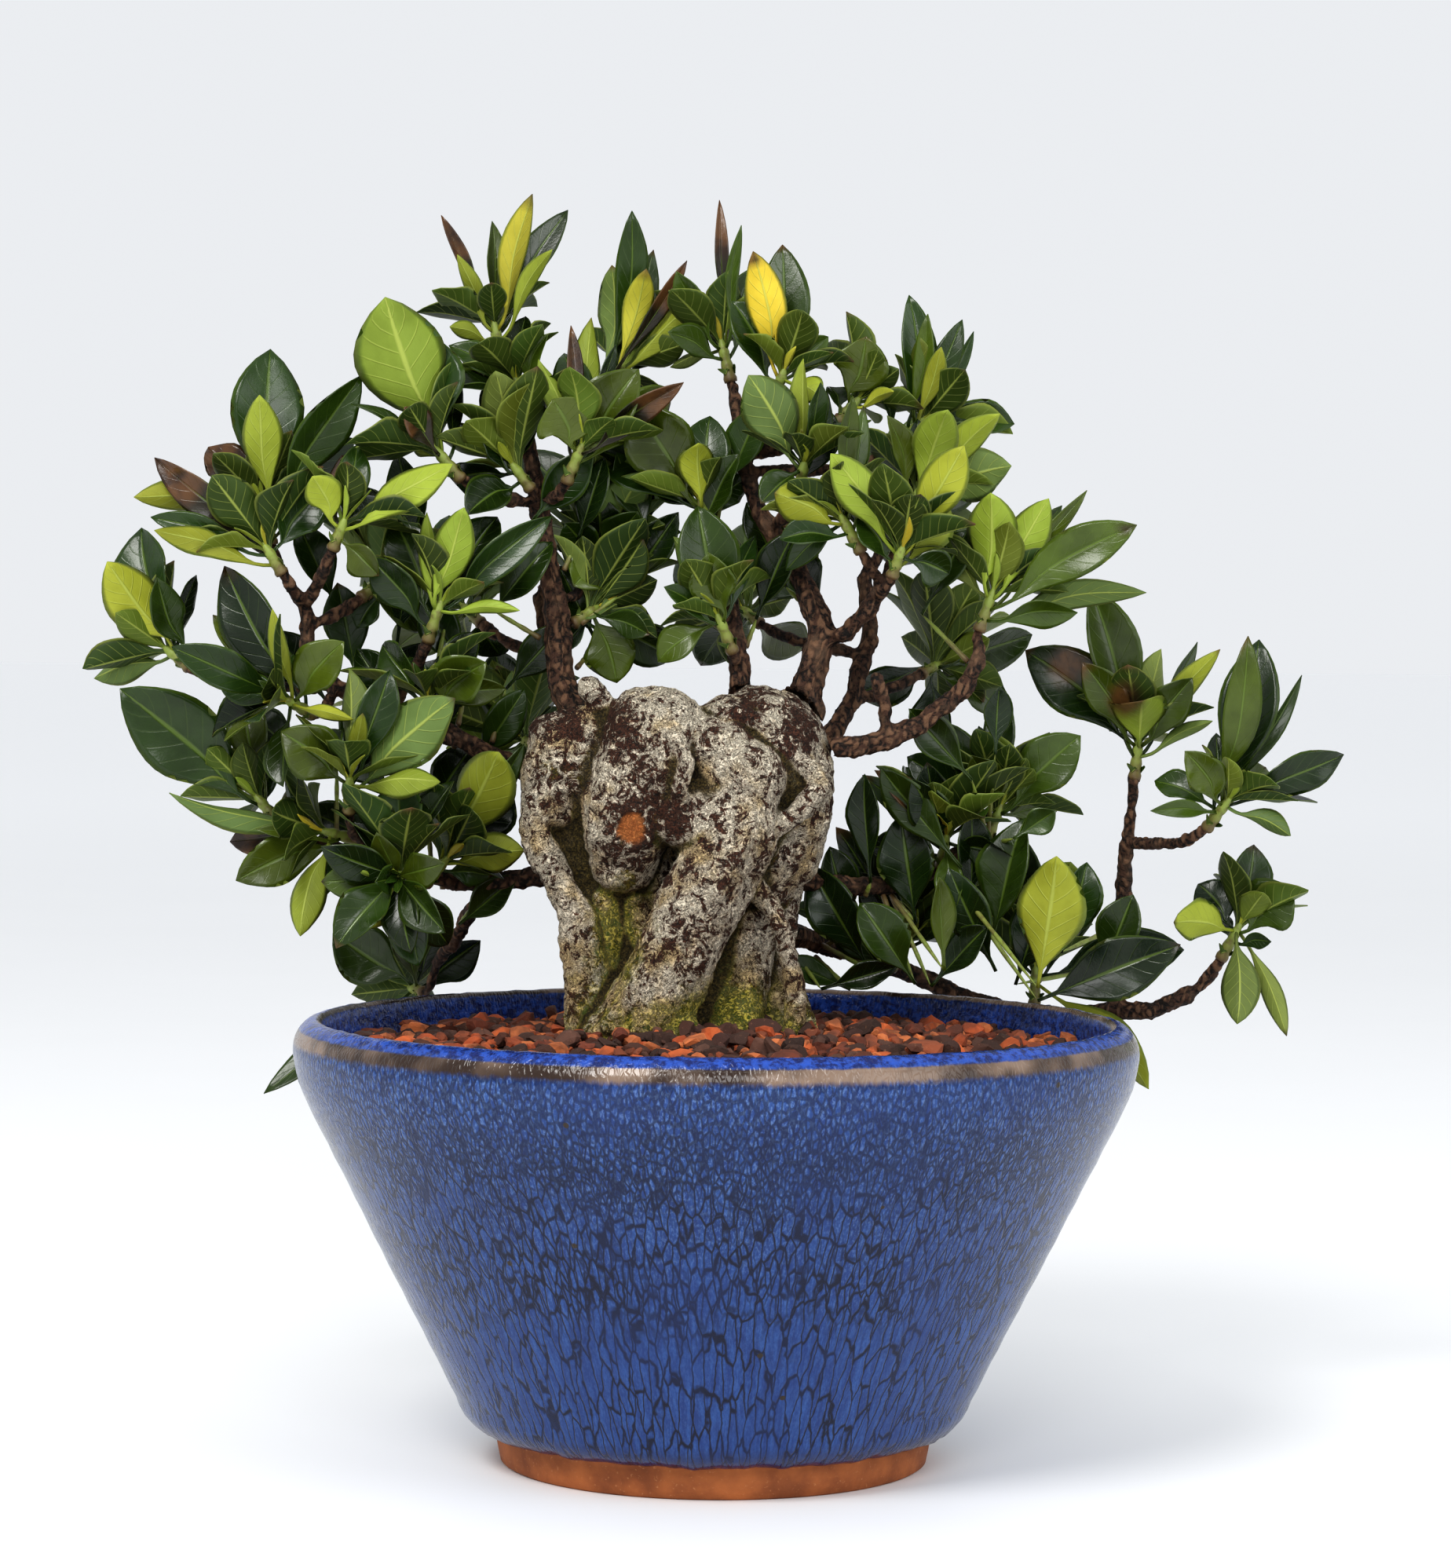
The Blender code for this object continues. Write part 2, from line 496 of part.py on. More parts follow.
        (163, 256, 10, -8, 10, 2), (166, 255, 16, 10, -10, 0), (181, 244, 5, 2, 20, 1),
        (194, 219, 11, 6, 10, 0), (177, 195, 6, -8, 20, 5), (144, 220, 11, -10, -8, 2),
        (153, 226, 8, 14, 15, 0), (133, 202, 5, -10, 0, 2), (134, 212, 9, 10, 30, 1))),
    "shoot_cascade_end": ("limb_cascade", (160, 70, 165), (
        (166, 192, 12, 4, 15, 1), (177, 178, 16, -8, -10, 2), (171, 162, 5, -6, 20, 1),
        (148, 180, 12, 8, 10, 0), (161, 136, 11, -10, 12, 5), (176, 133, 6, -2, 0, 5),
        (140, 168, 12, -12, -12, 3), (153, 169, 6, 16, 20, 1))),
    "shoot_rim_right": ("limb_cascade", (98, 103, 151), (
        (144, 159, 17, -6, 10, 0), (109, 187, 20, -14, 4, 3), (115, 184, 14, 8, 10, 1),
        (90, 196, 14, 4, -15, 0), (134, 118, 12, -10, -10, 3), (74, 182, 10, 2, 25, 1))),
    "shoot_right_inner": ("limb_right_low", (86, 56, 201), (
        (111, 225, 15, -8, -6, 2), (78, 218, 12, -14, 8, 2), (105, 202, 7, 8, 10, 2),
        (86, 241, 9, 10, -12, 1), (67, 229, 11, 4, 20, 1), (58, 218, 14, 14, -20, 1),
        (80, 228, 9, 14, 20, 1))),
    "shoot_right_dense": ("limb_right_low", (70, 50, 192), (
        (49, 214, 8, -10, 20, 6), (44, 212, 8, 4, 15, 1), (60, 210, 12, -14, -10, 0),
        (92, 186, 12, -8, 30, 0), (72, 170, 8, -12, 10, 2), (46, 190, 9, 10, 30, 0))),
    "shoot_right_floor": ("limb_cascade", (58, 96, 160), (
        (71, 184, 9, -12, 12, 1), (44, 182, 12, -10, -10, 0), (36, 196, 11, 6, 15, 0),
        (64, 188, 12, 8, 20, 1), (22, 172, 11, -12, 25, 1), (80, 176, 9, -14, -20, 1))),
    "shoot_back_left_low": ("limb_back_left", (-60, 98, 222), (
        (-92, 232, 15, 14, 35, 1), (-80, 212, 13, 24, -30, 2), (-50, 205, 14, 26, 10, 1),
        (-30, 228, 13, 22, 30, 2), (-70, 250, 14, 18, -15, 1))),
    "shoot_back_left": ("limb_back_left", (-78, 88, 262), (
        (-110, 272, 14, 16, 25, 1), (-100, 250, 14, 24, -30, 2), (-84, 292, 15, 20, 15, 1),
        (-56, 280, 13, 26, -20, 2), (-68, 248, 12, 28, 30, 1))),
    "shoot_back_top": ("limb_back_left", (-40, 92, 286), (
        (-62, 312, 14, 12, 20, 1), (-36, 322, 14, 20, -15, 2), (-16, 308, 13, 20, 30, 1),
        (-30, 276, 14, 30, 10, 1), (-58, 288, 12, 26, -30, 2))),
    "shoot_back_mid": ("limb_back_right", (8, 96, 262), (
        (-14, 278, 14, 22, 20, 1), (8, 292, 14, 24, -15, 2), (30, 280, 13, 22, 30, 1),
        (-6, 246, 13, 28, -25, 1), (26, 250, 14, 26, 15, 2))),
    "shoot_back_right": ("limb_back_right", (56, 92, 292), (
        (36, 314, 13, 16, 25, 1), (58, 322, 14, 20, -20, 2), (80, 306, 13, 18, 30, 1),
        (52, 276, 13, 30, 10, 1), (82, 288, 12, 20, -30, 2))),
    "shoot_back_right_low": ("limb_back_right", (66, 94, 246), (
        (96, 256, 14, 14, 30, 1), (88, 232, 13, 22, -25, 2), (64, 222, 13, 26, 15, 1),
        (40, 236, 13, 24, -20, 1), (72, 270, 13, 20, 20, 2))),
}


# ---------------------------------------------------------------- plant: wood

def chain(bm, lobes, girth):
    """Balls along a path, close enough to merge into one lobe when the surface is drawn over them."""
    for (x0, y0, z0, r0), (x1, y1, z1, r1) in zip(lobes, lobes[1:]):
        start, end = place(x0, y0, z0), place(x1, y1, z1)
        steps = max(2, math.ceil((end - start).length / (0.35 * min(r0, r1))))
        for i in range(steps + 1):
            share = i / steps
            centre = start.lerp(end, share)
            radius = (r0 + (r1 - r0) * share) * girth * SPREAD
            matrix = Matrix.Translation(centre)
            bmesh.ops.create_icosphere(bm, subdivisions=2, radius=radius, matrix=matrix)


def make_trunk():
    bm = bmesh.new()
    for lobes in (*TRUNK_LOBES, TRUNK_KNOB):
        chain(bm, lobes, TRUNK_GIRTH)
    trunk = to_object("trunk", bm, (0.42, 0.36, 0.28), 0.9)
    skin = trunk.modifiers.new("skin", "REMESH")
    skin.mode = "VOXEL"
    skin.voxel_size = TRUNK_GRAIN * MM
    bake(trunk)
    keep_largest(trunk)
    for path in (*THIN_ROOTS, *SOIL_ROOTS):
        root = bmesh.new()
        tube(root, [(place(x, y, z), r * TRUNK_GIRTH * SPREAD) for x, y, z, r in path], 7)
        combine(trunk, to_object("root", root, (0, 0, 0), 0.5), "UNION")
    return trunk


def along(limb):
    """Points read every few millimetres along a limb's paths, with the radius there."""
    found = []
    for path in LIMBS[limb]:
        for (x0, y0, z0, r0), (x1, y1, z1, r1) in zip(path, path[1:]):
            start, end = place(x0, y0, z0), place(x1, y1, z1)
            found += [(start.lerp(end, k / 4), r0 + (r1 - r0) * k / 4) for k in range(4)]
        found.append((end, r1))
    return found[2:]


class Whorl:
    """The end of a twig, where a shoot's leaves sit: its axis, its stem and the way back to the limb."""

    def __init__(self, limb, centre, leaves):
        self.centre = place(*centre)
        self.tips = [place(x, centre[1] + reach, z) for x, z, _, reach, _, _ in leaves]
        spread = sum(((tip - self.centre).normalized() for tip in self.tips), Vector())
        self.root, self.root_radius = min(along(limb), key=self.cost)
        back = (self.centre - self.root).normalized()
        self.axis = (spread * 0.5 / len(leaves) + back * 0.6 + Vector((0, 0, 0.15))).normalized()
        self.steps = 1 + math.ceil(len(leaves) / 5)
        self.foot = self.centre - self.axis * STEM_STEP * (self.steps - 0.5)

    def cost(self, sample):
        point = sample[0]
        return (point - self.centre).length + 1.5 * max(0, point.z - self.centre.z + 14)

    def twig(self):
        """Curve from inside the limb to just short of the stem's foot."""
        end = self.foot - self.axis * TWIG_END
        reach = (end - self.root).length
        first = self.root.lerp(end, 0.35)
        second = end - self.axis * reach * 0.35
        points = []
        for i in range(4):
            t = i / 3
            a, b, c, d = (1 - t) ** 3, 3 * t * (1 - t) ** 2, 3 * t**2 * (1 - t), t**3
            points.append(self.root * a + first * b + second * c + end * d)
        points.append(self.foot - self.axis * GAP)
        wide = min(self.root_radius * 0.75, TWIG_RADIUS * 1.5)
        return [(point, wide + (TWIG_RADIUS - wide) * i / 4) for i, point in enumerate(points)]


def make_limb(name, whorls, trunk):
    limb = None
    for path in LIMBS[name]:
        bm = bmesh.new()
        tube(bm, [(place(x, y, z), r) for x, y, z, r in path], 6)
        piece = to_object(name, bm, (0.13, 0.07, 0.04), 0.85)
        if limb is None:
            limb = piece
        else:
            combine(limb, piece, "UNION")
    for whorl in whorls:
        bm = bmesh.new()
        tube(bm, whorl.twig(), 5, TWIG_TURN)
        combine(limb, to_object("twig", bm, (0, 0, 0), 0.5), "UNION")
    cut_clear_of(limb, trunk, 2.5 * GAP)
    keep_largest(limb)
    return limb


# ---------------------------------------------------------------- plant: leaves

def leaf_rings(foot, outward, tip, width, roll, tone, axis, grown=0.0):
    """Four-point rings along a leaf: the neck, one or two across the blade, then the tip."""
    line = tip - foot
    length = line.length
    ahead = line / length
    upper = Vector((0, -1, 0)) if tone <= 2 or tone == 6 else Vector((0, 1, 0))
    upper = (upper - ahead * upper.dot(ahead)).normalized()
    upper = Matrix.Rotation(math.radians(roll), 3, ahead) @ upper
    side = ahead.cross(upper)
    arch = axis - ahead * axis.dot(ahead)
    arch = arch * LEAF_ARCH * length
    marks = ((0.42, 1.0), (0.76, 0.74)) if width > 9 else ((0.55, 1.0),)
    neck = foot + outward * 1.4 + ahead * 0.14 * length
    rings = [(neck, 0.9, 0.0, 0.55)]
    for share, part in marks:
        centre = foot + line * share + arch * 4 * share * (1 - share)
        half = width * part / 2
        rings.append((centre, half, LEAF_FOLD * width * part, LEAF_THICKNESS / 2))
    built = []
    for centre, half, fold, thick in rings:
        half += grown
        thick += grown
        lift = upper * fold
        built.append((
            centre + side * half + lift,
            centre + upper * thick,
            centre - side * half + lift,
            centre - upper * thick,
        ))
    return built, tip + ahead * grown, ahead


def blade_tree(rings, tip):
    """Search tree of a leaf's blade, from its neck to its tip."""
    points = [point for ring in rings for point in ring] + [tip]
    faces = []
    for i in range(len(rings) - 1):
        for k in range(4):
            j = (k + 1) % 4
            faces.append((4 * i + k, 4 * i + j, 4 * i + 4 + j, 4 * i + 4 + k))
    last = 4 * (len(rings) - 1)
    faces += [(last + k, last + (k + 1) % 4, len(points) - 1) for k in range(4)]
    faces.append((3, 2, 1, 0))
    return BVHTree.FromPolygons(points, faces)


def bounds(points, margin=0.0):
    low = [min(point[k] for point in points) - margin for k in range(3)]
    high = [max(point[k] for point in points) + margin for k in range(3)]
    return low, high


def apart(one, other):
    return any(one[0][k] > other[1][k] or other[0][k] > one[1][k] for k in range(3))


class Taken:
    """What stands already: a search tree and a box for each solid."""

    def __init__(self):
        self.items = []

    def add(self, tree, box):
        self.items.append((tree, box))

    def add_object(self, obj):
        points = [vert.co / MM for vert in obj.data.vertices]
        faces = [tuple(face.vertices) for face in obj.data.polygons]
        self.add(BVHTree.FromPolygons(points, faces), bounds(points))

    def free(self, tree, box):
        return not any(not apart(box, other) and tree.overlap(held) for held, other in self.items)


def variations():
    """Small changes tried in turn until a leaf is clear: the whole leaf first, then a shorter one."""
    for length in (1.0, 0.9, 0.8, 0.7, 0.6, 0.5):
        for roll in (0, 18, -18, 36, -36, 60):
            for reach in (0, 4, -4, 8, -8, 13, -13, 18):
                yield length, roll, reach


def ring_order(face_points, ring, outward):
    """The ring turned so that its corners follow the face's corners without a twist."""
    centre = sum(face_points, Vector()) / 4
    middle = sum(ring, Vector()) / 4
    best = None
    for order in ((0, 1, 2, 3), (3, 2, 1, 0)):
        for shift in range(4):
            turned_ring = [order[(k + shift) % 4] for k in range(4)]
            first, second, third = (ring[turned_ring[k]] for k in range(3))
            if (second - first).cross(third - second).dot(outward) < 0:
                continue
            score = 0
            for corner, index in zip(face_points, turned_ring):
                score += (corner - centre).normalized().dot((ring[index] - middle).normalized())
            if best is None or score > best[0]:
                best = (score, turned_ring)
    return best[1]


def make_shoot(name, whorl, leaves, taken):
    bm = bmesh.new()
    rings = []
    normal = whorl.axis.orthogonal().normalized()
    across = whorl.axis.cross(normal)
    for level in range(whorl.steps + 1):
        centre = whorl.foot + whorl.axis * STEM_STEP * level
        radius = STEM_RADIUS * (1 - 0.12 * level)
        ring = []
        for k in range(6):
            angle = math.pi * (k + 0.5 * (level % 2)) / 3
            ring.append(bm.verts.new(centre + (normal * math.cos(angle) + across * math.sin(angle)) * radius))
        rings.append(ring)
    bm.faces.new(list(reversed(rings[0])))
    bud = bm.verts.new(whorl.foot + whorl.axis * STEM_STEP * (whorl.steps + 0.7))
    for k in range(6):
        bm.faces.new((rings[-1][k], rings[-1][(k + 1) % 6], bud))
    sockets = []
    for low, high in zip(rings, rings[1:]):
        for k in range(6):
            corners = (low[k], low[(k + 1) % 6], high[(k + 1) % 6], high[k])
            sockets.append(bm.faces.new(corners))
    bm.normal_update()
    own = []
    for (_, _, width, _, roll, tone), tip in zip(leaves, whorl.tips):
        way = (tip - whorl.centre).normalized()
        facing = [face.normal.dot(way) + 0.04 * face.calc_center_median().dot(whorl.axis) for face in sockets]
        socket = sockets[facing.index(max(facing))]
        foot, outward = socket.calc_center_median(), socket.normal.copy()
        found = None
        for length, more_roll, more_reach in variations():
            turned_tip = tip + Vector((0, more_reach, 0))
            end = foot + (turned_tip - foot) * length
            size = width * (0.6 + 0.4 * length)
            spec = (foot, outward, end, size, roll + more_roll, tone, whorl.axis)
            grown, grown_tip, _ = leaf_rings(*spec, grown=0.35)
            points = [point for ring in grown for point in ring] + [grown_tip]
            tree, box = blade_tree(grown, grown_tip), bounds(points)
            if found is None:
                found = spec
            if taken.free(tree, box) and not any(tree.overlap(other) for other in own):
                found = spec
                break
        blade, tip_point, ahead = leaf_rings(*found)
        sockets.remove(socket)
        corners = [vert.co.copy() for vert in socket.verts]
        held = list(socket.verts)
        bm.faces.remove(socket)
        order = ring_order(corners, list(blade[0]), outward)
        for points in blade:
            ring = [bm.verts.new(points[index]) for index in order]
            ring_faces(bm, held, ring)
            held = ring
        point = bm.verts.new(tip_point)
        for k in range(4):
            bm.faces.new((held[k], held[(k + 1) % 4], point))
        bm.normal_update()
        own.append(blade_tree(blade, tip_point))
    shoot = to_object(name, bm, (0.10, 0.22, 0.04), 0.4, smooth=False)
    taken.add_object(shoot)


pot = make_pot()
make_drainage()
soil = make_soil()
trunk = make_trunk()
cut_clear_of(soil, trunk, 3 * GAP)
keep_largest(soil)
whorls = {name: Whorl(*shoot) for name, shoot in SHOOTS.items()}
taken = Taken()
for body in (pot, soil, trunk):
    taken.add_object(body)
for limb_name in LIMBS:
    hung = [whorls[name] for name, shoot in SHOOTS.items() if shoot[0] == limb_name]
    taken.add_object(make_limb(limb_name, hung, trunk))
for name, (_, _, leaves) in SHOOTS.items():
    make_shoot(name, whorls[name], leaves, taken)
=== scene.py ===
"""A gardenia grown as a bonsai in a round, conical, blue-glazed pot.

Sizes are in millimetres until a piece is made.
"""

import math
import random

import bmesh
import bpy
import numpy as np
from mathutils import Matrix, Vector, noise
from mathutils.bvhtree import BVHTree


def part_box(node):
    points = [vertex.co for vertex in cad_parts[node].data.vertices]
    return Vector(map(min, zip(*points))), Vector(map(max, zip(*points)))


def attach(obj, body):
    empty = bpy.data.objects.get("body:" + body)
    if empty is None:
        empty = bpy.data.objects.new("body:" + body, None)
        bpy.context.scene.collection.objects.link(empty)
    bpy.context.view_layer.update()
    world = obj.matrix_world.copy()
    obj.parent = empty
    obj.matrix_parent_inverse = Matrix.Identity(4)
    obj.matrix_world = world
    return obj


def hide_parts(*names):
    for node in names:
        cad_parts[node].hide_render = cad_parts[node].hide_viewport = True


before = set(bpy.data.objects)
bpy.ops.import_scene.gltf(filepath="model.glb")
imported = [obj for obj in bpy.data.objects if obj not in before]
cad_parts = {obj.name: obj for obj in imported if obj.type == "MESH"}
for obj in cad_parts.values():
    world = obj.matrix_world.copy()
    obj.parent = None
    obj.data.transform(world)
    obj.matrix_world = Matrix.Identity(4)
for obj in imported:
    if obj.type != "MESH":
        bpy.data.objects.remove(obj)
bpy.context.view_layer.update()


# ------------------------------------------------------------------ pot
# A hand-thrown cone of terracotta on a turned foot ring. It was dipped in a thick blue glaze that ran down
# in streaks, crackled as it cooled and thinned to brown on the rim. The foot was wiped bare before firing.

MM = 0.001
RIM_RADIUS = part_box("pot")[1].x / MM
RIM_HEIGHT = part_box("pot")[1].z / MM
POT_SIDES = 240
FOOT_RINGS = 10
GLAZE_LINE = 9.8
GLAZE_RUN = 100.0

CLAY = (0.40, 0.125, 0.032)
CLAY_DARK = (0.20, 0.055, 0.014)
CLAY_SPECK = (0.52, 0.24, 0.10)
GLAZE_BLUE = (0.025, 0.078, 0.255)
GLAZE_PALE = (0.110, 0.195, 0.40)
GLAZE_DEEP = (0.010, 0.034, 0.15)
GLAZE_NAVY = (0.0010, 0.0025, 0.016)
GLAZE_LIP = (0.020, 0.075, 0.38)
GLAZE_SHADE = (0.004, 0.010, 0.06)
GLAZE_LIP_SHADE = (0.003, 0.012, 0.10)
GLAZE_BREAK = (0.030, 0.016, 0.010)
# pale tan painted highlight on the rim's brown break, standing in for the reflection of the studio light
GLAZE_PAINTED_HIGHLIGHT = (0.27, 0.19, 0.14)
GLAZE_PIT = (0.03, 0.02, 0.012)
# Crackle, from coarse low on the wall to fine under the rim: cells across and along for each millimetre,
# then the heights on the wall between which it comes in and goes out
CRACKLE = ((0.31, 0.066, -0.9, -0.8, 0.46, 0.66), (0.46, 0.115, 0.32, 0.50, 0.70, 0.90),
           (0.80, 0.27, 0.54, 0.82, 1.8, 2.0))


def piece(name, points, faces, finishes, stands_for=(), smooth=True):
    """A named mesh in metres from millimetre points, riding on the pot and plant's one body."""
    mesh = bpy.data.meshes.new(name)
    mesh.from_pydata([tuple(c * MM for c in point) for point in points], [], faces)
    for finish in finishes:
        mesh.materials.append(finish)
    if smooth:
        mesh.shade_smooth()
    obj = bpy.data.objects.new(name, mesh)
    bpy.context.collection.objects.link(obj)
    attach(obj, "root")
    if stands_for:
        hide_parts(*stands_for)
    return obj


def band(low, high, sides):
    """Faces between two rings of points, numbered from low and from high."""
    return [(low + k, low + (k + 1) % sides, high + (k + 1) % sides, high + k) for k in range(sides)]


def paint(obj, **layers):
    """A number, vector or colour for each point of the mesh, for its finish to read."""
    kinds = {1: ("FLOAT", "value"), 3: ("FLOAT_VECTOR", "vector"), 4: ("FLOAT_COLOR", "color")}
    for name, values in layers.items():
        values = np.array(values, np.float32)
        kind, key = kinds[1 if values.ndim == 1 else values.shape[1]]
        obj.data.attributes.new(name, kind, "POINT").data.foreach_set(key, values.ravel())


class Finish:
    """A material and short ways to add its nodes. An input is a number, a colour or a node's output."""

    def __init__(self, name, roughness, **sockets):
        self.material = bpy.data.materials.new(name)
        self.material.use_nodes = True
        self.tree = self.material.node_tree
        self.shader = self.tree.nodes["Principled BSDF"]
        self.set(self.shader.inputs["Roughness"], roughness)
        for key, value in sockets.items():
            self.set(self.shader.inputs[key.replace("_", " ")], value)

    def set(self, socket, value):
        if isinstance(value, bpy.types.NodeSocket):
            self.tree.links.new(value, socket)
        elif hasattr(value, "__len__") and len(value) == 3 and socket.type == "RGBA":
            socket.default_value = (*value, 1)
        else:
            socket.default_value = value

    def node(self, kind, inputs=(), **settings):
        node = self.tree.nodes.new("ShaderNode" + kind)
        for key, value in settings.items():
            setattr(node, key, value)
        for key, value in dict(inputs).items():
            self.set(node.inputs[key], value)
        return node

    def read(self, name, output="Fac"):
        return self.node("Attribute", attribute_name=name).outputs[output]

    def place(self):
        return self.node("TexCoord").outputs["Object"]

    def maths(self, operation, first, second=0.0):
        return self.node("Math", {0: first, 1: second}, operation=operation).outputs[0]

    def scaled(self, value, factor, plus=0.0):
        return self.node("Math", {0: value, 1: factor, 2: plus}, operation="MULTIPLY_ADD").outputs[0]

    def step(self, value, low, high, start=0.0, end=1.0):
        """Start below low, end above high, and a smooth rise between."""
        inputs = {"Value": value, "From Min": low, "From Max": high, "To Min": start, "To Max": end}
        return self.node("MapRange", inputs, interpolation_type="SMOOTHSTEP").outputs[0]

    def noise(self, scale, detail=3.0, rough=0.55, distortion=0.0, where=None):
        inputs = {"Scale": scale, "Detail": detail, "Roughness": rough, "Distortion": distortion}
        inputs["Vector"] = self.place() if where is None else where
        return self.node("TexNoise", inputs).outputs["Fac"]

    def mix(self, share, first, second):
        node = self.node("Mix", data_type="RGBA")
        for index, value in ((0, share), (6, first), (7, second)):
            self.set(node.inputs[index], value)
        return node.outputs[2]

    def over(self, under, colour, value, low, high, start=0.0, end=1.0):
        """A colour that covers another where the value passes from low to high."""
        return self.mix(self.step(value, low, high, start, end), under, colour)

    def stretch(self, vector, x, y, z):
        node = self.node("VectorMath", {0: vector}, operation="MULTIPLY")
        node.inputs[1].default_value = (x, y, z)
        return node.outputs[0]

    def bump(self, height, strength, distance):
        inputs = {"Height": height, "Strength": strength, "Distance": distance * MM}
        self.set(self.shader.inputs["Normal"], self.node("Bump", inputs).outputs[0])

    def colour(self, value):
        self.set(self.shader.inputs["Base Color"], value)


def make_glaze():
    glaze = Finish("blue_crackle_glaze", 0.13, IOR=1.5, Specular_IOR_Level=0.40)
    flow = glaze.read("flow", "Vector")
    height = glaze.scaled(glaze.noise(0.05, 3.0, where=flow), 0.36, glaze.read("up_the_wall"))
    height = glaze.maths("SUBTRACT", height, 0.18)
    push = glaze.node("TexNoise", {"Vector": flow, "Scale": 0.16, "Detail": 2.0}).outputs["Color"]
    lines = 1.0
    for wide, tall, comes, full, leaves, gone in CRACKLE:
        shaken = glaze.node("VectorMath", {0: glaze.stretch(flow, wide, wide, tall)}, operation="ADD")
        glaze.set(shaken.inputs[1], glaze.stretch(push, 0.55, 0.55, 0.55))
        cells = {"Vector": shaken.outputs[0], "Scale": 1.0}
        edges = glaze.node("TexVoronoi", cells, feature="DISTANCE_TO_EDGE")
        line = glaze.step(edges.outputs["Distance"], 0.05 * wide, 0.02 + 0.26 * wide)
        here = glaze.scaled(glaze.step(height, comes, full), glaze.step(height, leaves, gone, 1.0, 0.0))
        line = glaze.maths("SUBTRACT", 1.0, glaze.scaled(here, glaze.maths("SUBTRACT", 1.0, line)))
        lines = glaze.maths("MINIMUM", line, lines)
    streak = glaze.noise(0.55, 5.0, 0.72, where=glaze.stretch(flow, 1.0, 1.0, 0.14))
    grain = glaze.noise(1.7, 3.0, 0.65, where=glaze.stretch(flow, 1.0, 1.0, 0.42))
    high = glaze.step(height, 0.3, 0.95)
    body = glaze.over(GLAZE_DEEP, GLAZE_BLUE, streak, 0.36, 0.68)
    milky = glaze.scaled(glaze.step(grain, 0.48, 0.64), glaze.scaled(high, 0.65, 0.12))
    body = glaze.mix(milky, body, GLAZE_PALE)
    body = glaze.over(body, GLAZE_DEEP, grain, 0.34, 0.47, 0.6, 0.0)
    faint = glaze.step(height, 0.6, 1.0, 0.03, 0.40)
    body = glaze.mix(glaze.maths("MAXIMUM", lines, faint), GLAZE_NAVY, body)
    pools = glaze.noise(0.03, 2.0, where=flow)
    body = glaze.over(body, GLAZE_DEEP, pools, 0.4, 0.7, 0.0, 0.3)
    body = glaze.over(body, GLAZE_SHADE, glaze.read("up_the_wall"), 0.075, 0.14, 0.75, 0.0)
    beads = glaze.noise(0.42, 4.0, 0.7, where=flow)
    lip = glaze.over(GLAZE_LIP_SHADE, GLAZE_LIP, beads, 0.40, 0.60)
    body = glaze.mix(glaze.read("deep"), body, lip)
    thin = glaze.maths("ADD", glaze.read("thin"), glaze.scaled(streak, 0.6, -0.3))
    # painted highlight: patches of pale tan over the brown break stand in for the studio light's reflection
    # on the rim
    painted_highlight = glaze.step(glaze.noise(0.028, 3.0, 0.6, where=flow), 0.44, 0.60)
    break_and_painted_highlight = glaze.mix(glaze.scaled(painted_highlight, 0.75), GLAZE_BREAK, GLAZE_PAINTED_HIGHLIGHT)
    body = glaze.over(body, break_and_painted_highlight, thin, 0.35, 0.75)
    pits = glaze.node("TexVoronoi", {"Vector": glaze.place(), "Scale": 48.0}).outputs["Distance"]
    body = glaze.over(body, GLAZE_PIT, pits, 0.035, 0.05, 1.0, 0.0)
    glaze.colour(body)
    skin = glaze.scaled(lines, 0.7, glaze.scaled(streak, 0.5))
    skin = glaze.scaled(glaze.scaled(beads, glaze.read("deep")), 3.0, skin)
    glaze.bump(skin, 0.5, 0.3)
    return glaze.material


def make_clay():
    clay = Finish("bare_terracotta", 0.78)
    tone = clay.noise(60.0, 4.0, 0.6)
    speck = clay.noise(900.0, 2.0, 0.6)
    colour = clay.over(CLAY_DARK, CLAY, tone, 0.3, 0.7)
    colour = clay.over(colour, CLAY_SPECK, speck, 0.62, 0.75, 0.0, 0.5)
    clay.colour(colour)
    clay.bump(clay.maths("ADD", speck, tone), 0.4, 0.3)
    return clay.material


